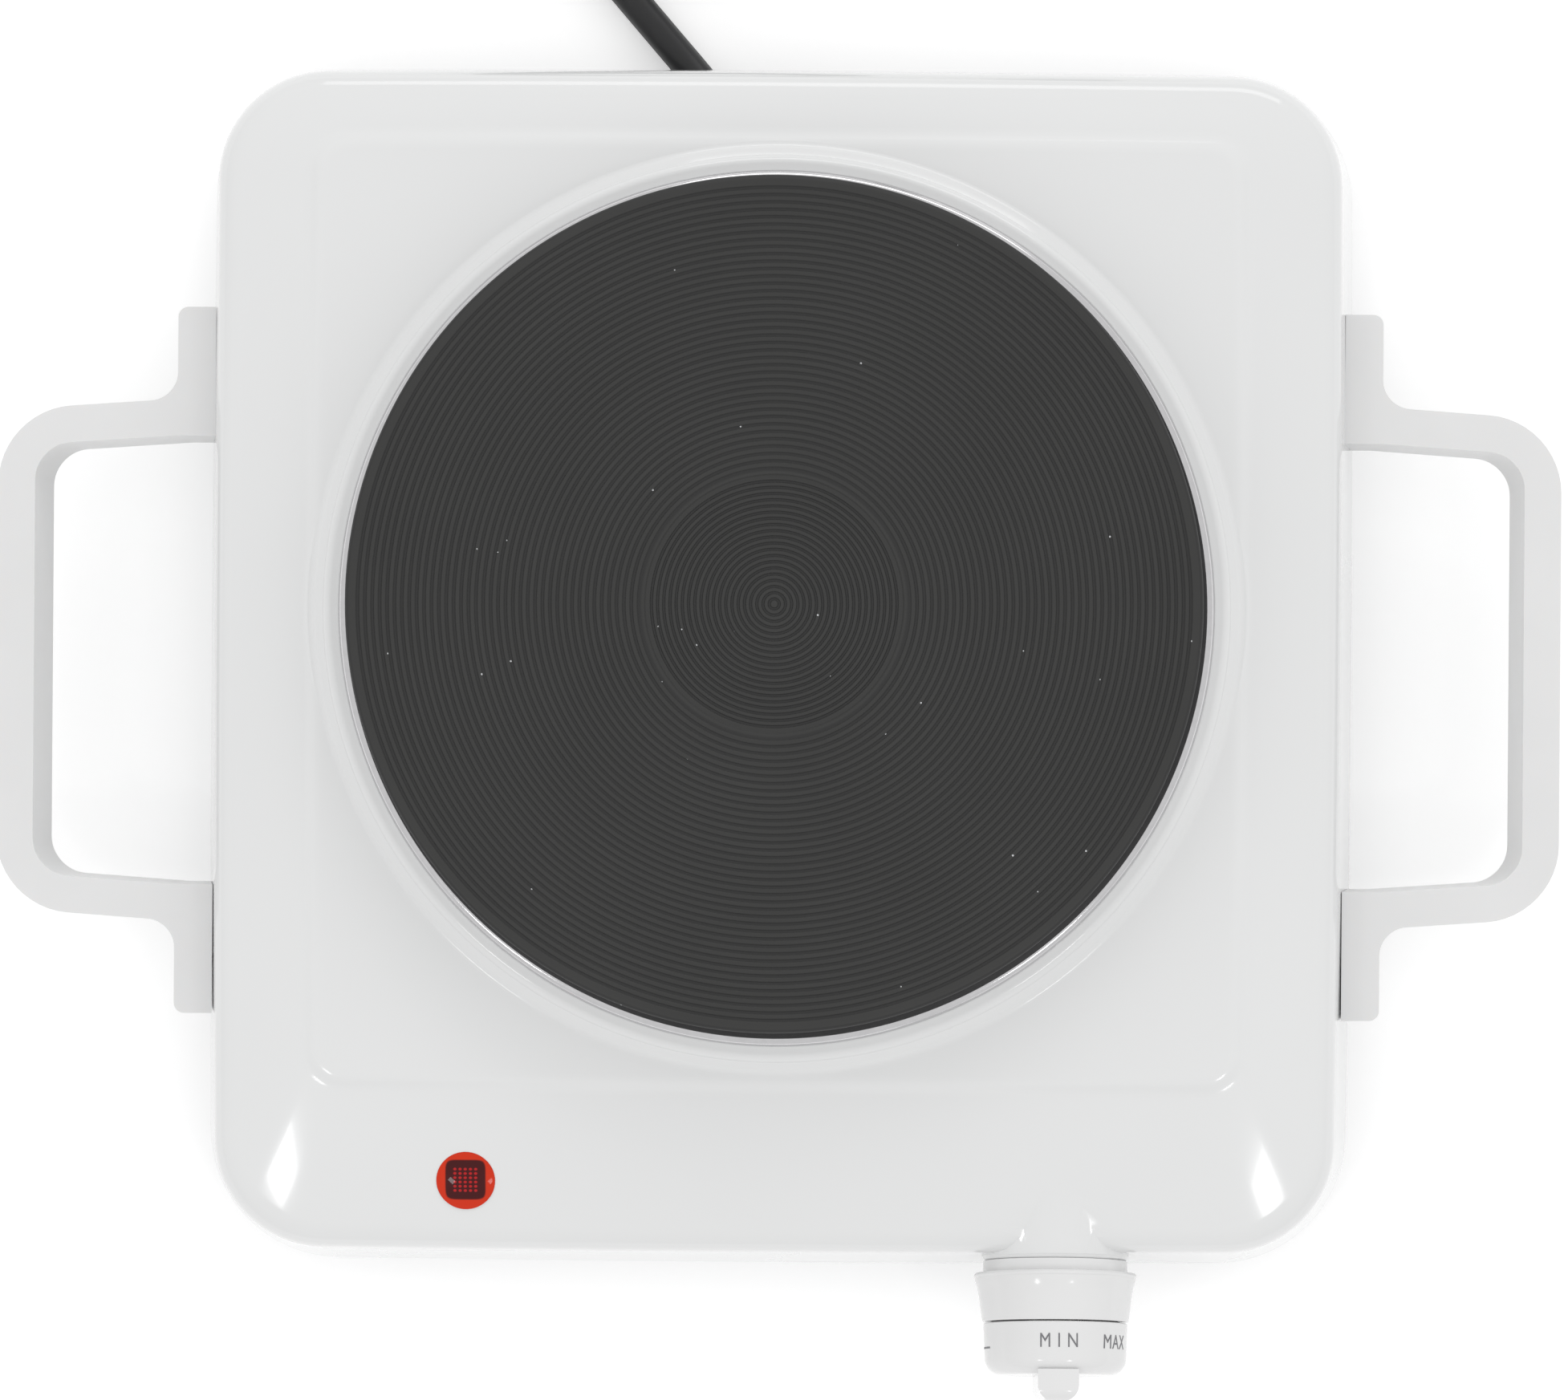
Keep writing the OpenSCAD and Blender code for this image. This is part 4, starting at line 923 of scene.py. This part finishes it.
@dataclass
class CookingPlate:
    """The iron plate with its turned rings, shallow dish and plain rim.

    Attributes:
        middle: Middle of the plate in the cover's frame.
        radius: Radius of the cooking surface.
        top: Height of the cooking surface.
        dish_r: Radius of the dish.
        dish: Depth of the dish.
        groove: Depth of the turned rings.
        inner_pitch: Distance of the rings near the middle.
        outer_pitch: Distance of the rings outside the dish.
        plain: Width of the plain rim.
        channels: Inner and outer radius of each heating channel.
        channel_z: Height of the channels' roof.
        low: Height of the plate's underside.
        seat: Height of the rim's underside.
        body_r: Radius of the body below the rim.
    """

    middle: tuple[float, float] = (-0.3, 12.2)
    radius: float = 92.5
    top: float = 77.0
    dish_r: float = 28.0
    dish: float = 0.4
    groove: float = 0.2
    inner_pitch: float = 1.35
    outer_pitch: float = 1.6
    plain: float = 1.7
    channels: tuple[tuple[float, float], ...] = ((34.5, 51.5), (61.5, 78.5))
    channel_z: float = 69.5
    low: float = 56.0
    seat: float = 67.0
    body_r: float = 87.0

    def _rings(self, start: float, end: float, pitch: float, height: float) -> list[tuple[float, float]]:
        """Saw-toothed turning marks from one radius inwards to another."""
        count = round((start - end) / pitch)
        step = (start - end) / count
        points = []
        for i in range(count):
            r = start - i * step
            floor = height - self.groove
            points += [(r, height), (r - 0.42 * step, height),
                       (r - 0.58 * step, floor), (r - 0.84 * step, floor)]
        return points

    def build(self) -> bpy.types.Object:
        """Turns the plate."""
        floor = self.top - self.dish
        profile = [(0.0, self.low)]
        for near, far in self.channels:
            profile += [(near, self.low), (near, self.channel_z), (far, self.channel_z), (far, self.low)]
        profile += [(self.body_r, self.low), (self.body_r, self.seat), (self.radius - 0.5, self.seat),
                    (self.radius, self.seat + 0.5)]
        profile += arc(self.radius - 1.2, self.top - 1.2, 1.2, 0, 90, 6)
        profile += self._rings(self.radius - self.plain, self.dish_r + 0.7, self.outer_pitch, self.top)
        profile += [(self.dish_r + 0.3, self.top), (self.dish_r, self.top - 0.08),
                    (self.dish_r - 0.3, floor + 0.05), (self.dish_r - 0.5, floor)]
        profile += self._rings(self.dish_r - 0.6, 0.7, self.inner_pitch, floor)
        profile += [(0.7, floor), (0.0, floor)]
        plate = turned("iron_plate", profile, 224, at=(self.middle[0], self.middle[1] + HOB_Y, 0), smooth=24)
        dress(plate, Finish.IRON, "hob")
        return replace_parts(plate, "hotplate")


@dataclass
class TrimRing:
    """The bright steel ring that bears the plate, with a rolled bead.

    Attributes:
        outer: Outer radius of the bead.
        inner: Radius at which the slope under the plate starts.
        seat: Height at which the ring sits on the collar.
        bead: Height of the bead.
        roll: Half width of the bead's round.
        flange: Radius of the flange that hangs in the opening.
        flange_low: Height of the flange's lower end.
        sheet: Thickness of the ring's sheet.
    """

    outer: float = 95.4
    inner: float = 90.8
    seat: float = 66.2
    bead: float = 2.2
    roll: float = 1.7
    flange: float = 89.3
    flange_low: float = 60.0
    sheet: float = 0.8

    def build(self) -> bpy.types.Object:
        """Turns the ring."""
        profile = [(self.flange - self.sheet, self.flange_low), (self.flange, self.flange_low),
                   (self.flange, self.seat), (self.outer - 0.2, self.seat)]
        for angle in range(0, 106, 10):
            a = math.radians(angle)
            profile.append((self.outer - self.roll + self.roll * math.cos(a),
                            self.seat + 0.2 + self.bead * math.sin(a)))
        profile += [(self.inner, self.seat + 0.9), (self.flange - self.sheet, self.seat + 0.6)]
        ring = turned("steel_ring", profile, 224, at=(0, Cover.opening_y + HOB_Y, 0), smooth=40)
        dress(ring, Finish.RING, "hob")
        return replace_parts(ring, "trim_ring")


# ---------- knob, bezel and lamp ----------

@dataclass
class Knob:
    """The bezel and the turning knob with its grip bar and printed scale.

    Attributes:
        back: Distance of the knob's back from the boss.
        front: Distance of its face from the boss.
        back_r: Radius at the back.
        front_r: Radius at the front.
        edge: Rounding of the front edge.
        grip_w: Width of the grip bar.
        grip_h: Height of the grip bar over the face.
    """

    back: float = 13.7
    front: float = 25.1
    back_r: float = 16.05
    front_r: float = 15.75
    edge: float = 3.8
    grip_w: float = 9.0
    grip_h: float = 6.0

    def bezel(self) -> bpy.types.Object:
        """Turns the bezel."""
        profile = [(5.1, 0), (16.1, 0), (16.1, 2.5), (17.8, 2.65)]
        profile += arc(17.75, 3.25, 0.45, -60, 60, 6)
        profile += [(17.9, 4.3), (17.5, 5.4), (17.2, 6.8), (16.95, 8.4), (16.6, 11.2), (16.35, 12.8)]
        profile += arc(16.0, 13.05, 0.35, 10, 90, 4) + [(14.4, 13.4), (14.4, 1.2), (5.1, 1.2)]
        piece = place(turned("bezel_ring", profile, 128, smooth=38), KNOB_FRAME)
        dress(piece, Finish.KNOB, "hob")
        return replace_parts(piece, "knob_bezel")

    def body(self) -> bpy.types.Object:
        """Turns the cap and adds hub and grip bar."""
        flat = self.front - self.edge
        outer = [(self.back_r - 0.25, self.back), (self.back_r, self.back + 0.25), (self.front_r, flat)]
        outer += arc(self.front_r - self.edge, flat, self.edge, 6, 90, 10)
        profile = [(5.6, 9.0)] + [(5.6, 23.1), (11.7, 23.1), (13.75, flat), (14.05, self.back)] + outer
        profile += [(0, self.front), (0, self.front - 3), (3.0, self.front - 3), (3.0, 9.0)]
        cap = turned("knob_cap", profile, 128, smooth=38)
        combine(cap, self._grip(), "UNION")
        hold(cap)
        bpy.ops.object.shade_smooth_by_angle(angle=math.radians(38))
        place(cap, KNOB_FRAME)
        dress(cap, Finish.KNOB, "knob")
        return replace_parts(cap, "knob")

    def _grip(self) -> bpy.types.Object:
        """The grip bar, rounded on top and cut to the knob's round."""
        high = self.front + self.grip_h
        work = Bench.begin("grip_bar", "cube", at=(0, 0, (self.front - 1 + high) / 2), size=1,
                           scale=(self.grip_w, 34, high - self.front + 1))
        work.pick_edges(lambda a, b: min(a.z, b.z) > high - NEAR and abs(a.x - b.x) < NEAR)
        work.bevel(3.6, 8)
        bar = work.done()
        round_off = turned("grip_round", [(0, 20), (15.62, 20), (15.62, high - 3.0)]
                           + arc(12.62, high - 3.0, 3.0, 0, 90, 8) + [(0, high)], 128)
        return combine(bar, round_off, "INTERSECT")

    def _letters(self, word: str, size: float, stretch: float, turn: float, along: float,
                 spacing: float = 1.0) -> bpy.types.Object:
        """Prints a word round the skirt.

        Args:
            word: The word or sign.
            size: Height of the letters.
            stretch: Widening of the letters.
            turn: Angle round the knob from its top, clockwise for the user.
            along: Distance of the letters' foot from the boss.
            spacing: Widening of the gaps between letters.

        Returns:
            The print as a thin mesh.
        """
        rest()
        bpy.ops.object.text_add()
        text = bpy.context.object
        text.name = "print_" + (word.lower() if word.isalpha() else "tick")
        text.data.body = word
        text.data.align_x = "CENTER"
        text.data.space_character = spacing
        text.data.extrude = 0.008
        bpy.ops.object.convert(target="MESH")
        bpy.ops.object.mode_set(mode="EDIT")
        bpy.ops.mesh.select_all(action="SELECT")
        bpy.ops.mesh.remove_doubles(threshold=1e-4)
        bpy.ops.mesh.quads_convert_to_tris()
        bpy.ops.mesh.subdivide(number_cuts=2)
        rest()
        slope = (self.back_r - self.front_r) / (self.front - self.edge - self.back)
        unit = size / 0.7
        for v in text.data.vertices:
            u = along - v.co.y * unit
            radius = self.back_r - slope * (u - self.back) + 0.03 + v.co.z * unit
            angle = math.radians(turn) + v.co.x * unit * stretch / radius
            v.co = Vector((radius * math.sin(angle), radius * math.cos(angle), u)) * MM
        return place(text, KNOB_FRAME)

    def scale(self) -> list[bpy.types.Object]:
        """Prints MIN, MAX and the tick between them."""
        marks = [self._letters("MIN", 3.1, 0.78, 0.4, 19.4, 1.75),
                 self._letters("MAX", 3.1, 0.84, 53.5, 19.5, 1.1),
                 self._letters("-", 3.1, 5.0, -78.0, 20.2)]
        for mark in marks:
            dress(mark, Finish.INK, "knob")
        return marks


@dataclass
class Lamp:
    """The red pilot lamp with its domed lens.

    Attributes:
        radius: Radius of the lens.
        dome: Height of its dome.
        stem: Radius of the stem in the cover.
        stem_l: Length of the stem.
    """

    radius: float = 6.55
    dome: float = 1.0
    stem: float = 4.9
    stem_l: float = 9.0

    def build(self) -> bpy.types.Object:
        """Turns the lens."""
        ball = (self.radius ** 2 + self.dome ** 2) / (2 * self.dome)
        start = math.degrees(math.asin((ball - self.dome) / ball))
        profile = [(0, -self.stem_l), (self.stem, -self.stem_l), (self.stem, 0), (self.radius - 0.1, 0)]
        profile += arc(0, self.dome - ball, ball, start + 1.5, 90, 18)
        lens = place(turned("lamp_dome", profile, 96, smooth=50), LAMP_FRAME)
        dress(lens, Finish.LENS, "hob")
        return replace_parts(lens, "lamp_lens")


# ---------- handles ----------

@dataclass
class Handle:
    """A grip handle: a tab on the wall and a hollow bar that runs round the grip.

    Attributes:
        reach: Outermost distance of the bar.
        tab_x: Outer face of the tab.
        tab_half: Half length of the tab.
        span: Half distance over the arms at the tab.
        closing: Angle by which each arm closes in.
        width: Width of the bar.
        height: Height of the bar.
        low: Height of its underside.
        bend: Radius of the bar's middle at its corners.
        wall: Thickness of the bar's walls.
        edge: Rounding of its upper edges.
        web: Rounding between tab and arm.
        root_x: Where the blank starts, inside the cover's wall.
        rim_x: Half width of the cover at its rim, from which the wall leans in.
        rim_z: Height of that rim.
        lean: Lean of the wall in degrees.
    """

    reach: float = 174.8
    tab_x: float = 134.8
    tab_half: float = 79.0
    span: float = 58.3
    closing: float = 4.0
    width: float = 8.2
    height: float = 22.0
    low: float = 19.0
    bend: float = 12.0
    wall: float = 2.2
    edge: float = 2.6
    web: float = 6.0
    root_x: float = 120.0
    rim_x: float = 131.4
    rim_z: float = 12.0
    lean: float = 9.99

    def build(self, side: int) -> bpy.types.Object:
        """Shapes one handle.

        Args:
            side: -1 for the left handle and 1 for the right one.

        Returns:
            The finished handle.
        """
        name = "left" if side < 0 else "right"
        closing = math.tan(math.radians(self.closing))
        inner_x = self.reach - self.width
        out_y, in_y = self.span + 0.1, self.span - self.width + 0.07
        middle = ((self.root_x + self.tab_x) / 2, (in_y + self.tab_half) / 2, self.low)
        work = Bench.begin(f"{name}_grip", "plane", at=middle, size=1,
                           scale=(self.tab_x - self.root_x, self.tab_half - in_y, 1))
        work.cut((0, out_y, 0), (0, 1, 0), fill=False)
        work.pick_edges(lambda a, b: min(a.x, b.x) > self.tab_x - NEAR and max(a.y, b.y) < out_y + NEAR)
        run = inner_x - self.tab_x
        work.extrude((run, -run * closing, 0))
        work.extrude((self.width, -self.width * closing, 0))
        corner_y = in_y - run * closing
        work.pick_edges(lambda a, b: min(a.x, b.x) > inner_x - NEAR and max(a.y, b.y) < corner_y + 0.3
                        and abs(a.x - b.x) > 1)
        work.extrude((0, -20, 0)).stretch((1, 0, 1))
        work.pick_all()
        bpy.ops.mesh.symmetrize(direction="POSITIVE_Y", threshold=1e-6)
        bpy.ops.mesh.select_all(action="SELECT")
        bpy.ops.mesh.dissolve_limited(angle_limit=math.radians(1.0))
        self._round(work, lambda p: p.x > self.reach - NEAR, self.bend + self.width / 2)
        self._round(work, lambda p: inner_x - NEAR < p.x < inner_x + NEAR, self.bend - self.width / 2)
        self._round(work, lambda p: abs(p.x - self.tab_x) < NEAR and abs(abs(p.y) - out_y) < NEAR, self.web)
        self._round(work, lambda p: abs(p.x - self.tab_x) < NEAR and abs(p.y) > self.tab_half - NEAR,
                    self.wall + 0.1)
        work.pick_all()
        bpy.ops.mesh.quads_convert_to_tris()
        work.pick(lambda p: True).extrude((0, 0, self.height))
        top = self.low + self.height
        lean = math.radians(self.lean)
        face, rim = Vector((math.cos(lean), 0, math.sin(lean))), Vector((self.rim_x, 0, self.rim_z))
        work.cut(tuple(rim), tuple(face), drop_inner=True).weld()
        work.pick_edges(lambda a, b: min(a.z, b.z) > top - NEAR
                        and max((a - rim).dot(face), (b - rim).dot(face)) > NEAR, 50)
        work.bevel(self.edge, 5)
        work.pick(lambda p: p.z < self.low + NEAR, facing=lambda n: abs(n.z) > 0.9)
        work.inset(self.wall).extrude((0, 0, self.height - self.wall))
        grip = work.done(38)
        place(grip, Matrix.Translation((0, HOB_Y * MM, 0)) @ Matrix.Diagonal((side, 1, 1, 1)))
        if side < 0:
            hold(grip)
            bpy.ops.object.mode_set(mode="EDIT")
            Bench(grip).weld().done(38)
        dress(grip, Finish.HANDLE, "hob")
        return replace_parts(grip, f"handle_{name}")

    @staticmethod
    def _round(work: Bench, test: Callable[[Vector], bool], radius: float) -> None:
        """Rounds the picked corners of the flat outline."""
        work.pick(test, "VERT").bevel(radius, 12, corners=True)


# ---------- what stays CAD, room and camera ----------

CAD_FINISHES: dict[Finish, tuple[str, ...]] = {
    Finish.GALVANISED: ("corner_brackets", "clamp_strap", "element_cover", "fuse_clip"),
    Finish.BASE: ("base_plate",),
    Finish.FOOT: ("foot_front_left", "foot_front_right", "foot_back_left", "foot_back_right"),
    Finish.SCREW: ("foot_screws", "clamp_screws", "earth_screw", "handle_screws", "centre_stud", "clamp_nut",
                   "clamp_washer", "bushing_nut", "thermostat_bushing", "thermostat_shaft", "lamp_clip",
                   "knob_spring_clip"),
    Finish.NICKEL: ("element_terminals", "thermostat_tabs", "plug_pins"),
    Finish.MAGNESIA: ("element_fill_inner", "element_fill_outer"),
    Finish.WIRE: ("heating_coil_inner", "heating_coil_outer"),
    Finish.STEATITE: ("terminal_block", "thermostat_body", "thermal_fuse", "adjuster_pin"),
    Finish.BRONZE: ("bimetal_strip", "contact_spring"),
    Finish.NEON: ("neon_bulb",),
    Finish.BLACK: ("strain_bushing", "cord_clamp", "coil_tie", "plug_body"),
    Finish.RUBBER: ("inner_cord_end",),
    Finish.BROWN: ("live_wire",),
    Finish.BLUE: ("neutral_wire",),
    Finish.EARTH: ("earth_wire",),
    Finish.GLASS_FIBRE: ("element_lead", "lamp_leads"),
    Finish.ENAMEL: ("housing_cover",),
    Finish.IRON: ("hotplate",),
    Finish.RING: ("trim_ring",),
    Finish.KNOB: ("knob", "knob_bezel"),
    Finish.HANDLE: ("handle_left", "handle_right"),
    Finish.LENS: ("lamp_lens",),
}


@dataclass(frozen=True)
class Softbox:
    """One area lamp over the object.

    Attributes:
        name: Name of the lamp.
        at: Place in metres.
        aim: Point that it faces, in metres.
        size: Width and height in metres.
        power: Watts.
    """

    name: str
    at: Point
    aim: Point
    size: tuple[float, float]
    power: float

    def build(self) -> None:
        """Hangs the lamp."""
        data = bpy.data.lights.new(self.name, "AREA")
        data.shape = "RECTANGLE"
        data.size, data.size_y = self.size
        data.energy = self.power
        lamp = bpy.data.objects.new(self.name, data)
        lamp.location = self.at
        lamp.rotation_euler = (Vector(self.aim) - Vector(self.at)).to_track_quat("-Z", "Y").to_euler()
        bpy.context.scene.collection.objects.link(lamp)


@dataclass
class Studio:
    """Camera, floor, world and lamps.

    Attributes:
        eye: Place of the camera in metres.
        roll: Turn of the camera in degrees.
        lens: Focal length over a sensor 36 mm wide.
        shift: Shift of the picture's middle off the camera's axis, to the right and up.
        sky: Strength of the room's light.
        floor_z: Height of the floor in millimetres.
        lift: Glow that makes the floor white to the eye and in reflections.
        boxes: The soft boxes.
    """

    eye: Point = (0.0198, -0.0037, 0.977)
    roll: float = 0.4
    lens: float = 96.08
    shift: tuple[float, float] = (-0.0527, 0.0294)
    sky: float = 0.87
    floor_z: float = -0.05
    lift: float = 0.42
    boxes: tuple[Softbox, ...] = (
        Softbox("back_box", (0.25, 1.55, 0.80), (0, 0.1, 0.05), (1.3, 0.45), 3.5),
        Softbox("front_left_box", (-0.56, -0.59, 1.24), (-0.112, -0.106, 0.05), (0.17, 0.12), 0.6),
        Softbox("front_right_box", (0.51, -0.615, 1.24), (0.112, -0.108, 0.05), (0.17, 0.12), 0.6))

    def camera(self) -> None:
        """Sets the camera straight above the plate."""
        data = bpy.data.cameras.new("camera_above")
        data.sensor_width = 36.0
        data.lens = self.lens
        data.shift_x, data.shift_y = self.shift
        camera = bpy.data.objects.new("camera_above", data)
        camera.location = self.eye
        camera.rotation_euler = (0, 0, math.radians(self.roll))
        bpy.context.scene.collection.objects.link(camera)
        bpy.context.scene.camera = camera

    def floor(self) -> None:
        """Lays the pale floor, which camera, gloss and glass see as white with the object's shadow."""
        floor = Bench.begin("studio_floor", "plane", at=(0, 0, self.floor_z), size=6000).done(None)
        paint = Paint("studio_floor")
        path = paint.node("ShaderNodeLightPath", out="Is Camera Ray")
        others = path.socket.node.outputs
        seen = path + Wire(paint, others["Is Glossy Ray"]) + Wire(paint, others["Is Transmission Ray"])
        glow = paint.mix(seen * self.lift, (0, 0, 0), (1, 1, 1))
        paint.finish(Base_Color=(0.80, 0.80, 0.80), Roughness=0.9, Emission_Color=glow, Emission_Strength=1.0)
        floor.data.materials.append(paint.material)

    def world(self) -> None:
        """Gives the room a plain soft light."""
        world = bpy.data.worlds.new("studio_world")
        world.use_nodes = True
        world.node_tree.nodes["Background"].inputs[0].default_value = (1, 1, 1, 1)
        world.node_tree.nodes["Background"].inputs[1].default_value = self.sky
        bpy.context.scene.world = world

    def build(self) -> None:
        """Sets up the whole studio."""
        bpy.context.scene.view_settings.view_transform = "Standard"
        self.camera()
        self.world()
        self.floor()
        for box in self.boxes:
            box.build()


def main() -> None:
    """Builds the hot plate piece by piece."""
    logging.basicConfig(level=logging.INFO, format="%(name)s: %(message)s")
    Studio().build()
    Cord().build()
    for finish, nodes in CAD_FINISHES.items():
        for node in nodes:
            dress(frame["nodes"][node], finish)
    cover = Cover().build()
    dress(cover, Finish.ENAMEL, "hob")
    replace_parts(cover, "housing_cover")
    CookingPlate().build()
    TrimRing().build()
    knob = Knob()
    knob.bezel()
    knob.body()
    knob.scale()
    Lamp().build()
    for side in (-1, 1):
        Handle().build(side)
    rest()


if __name__ == "__main__":
    main()
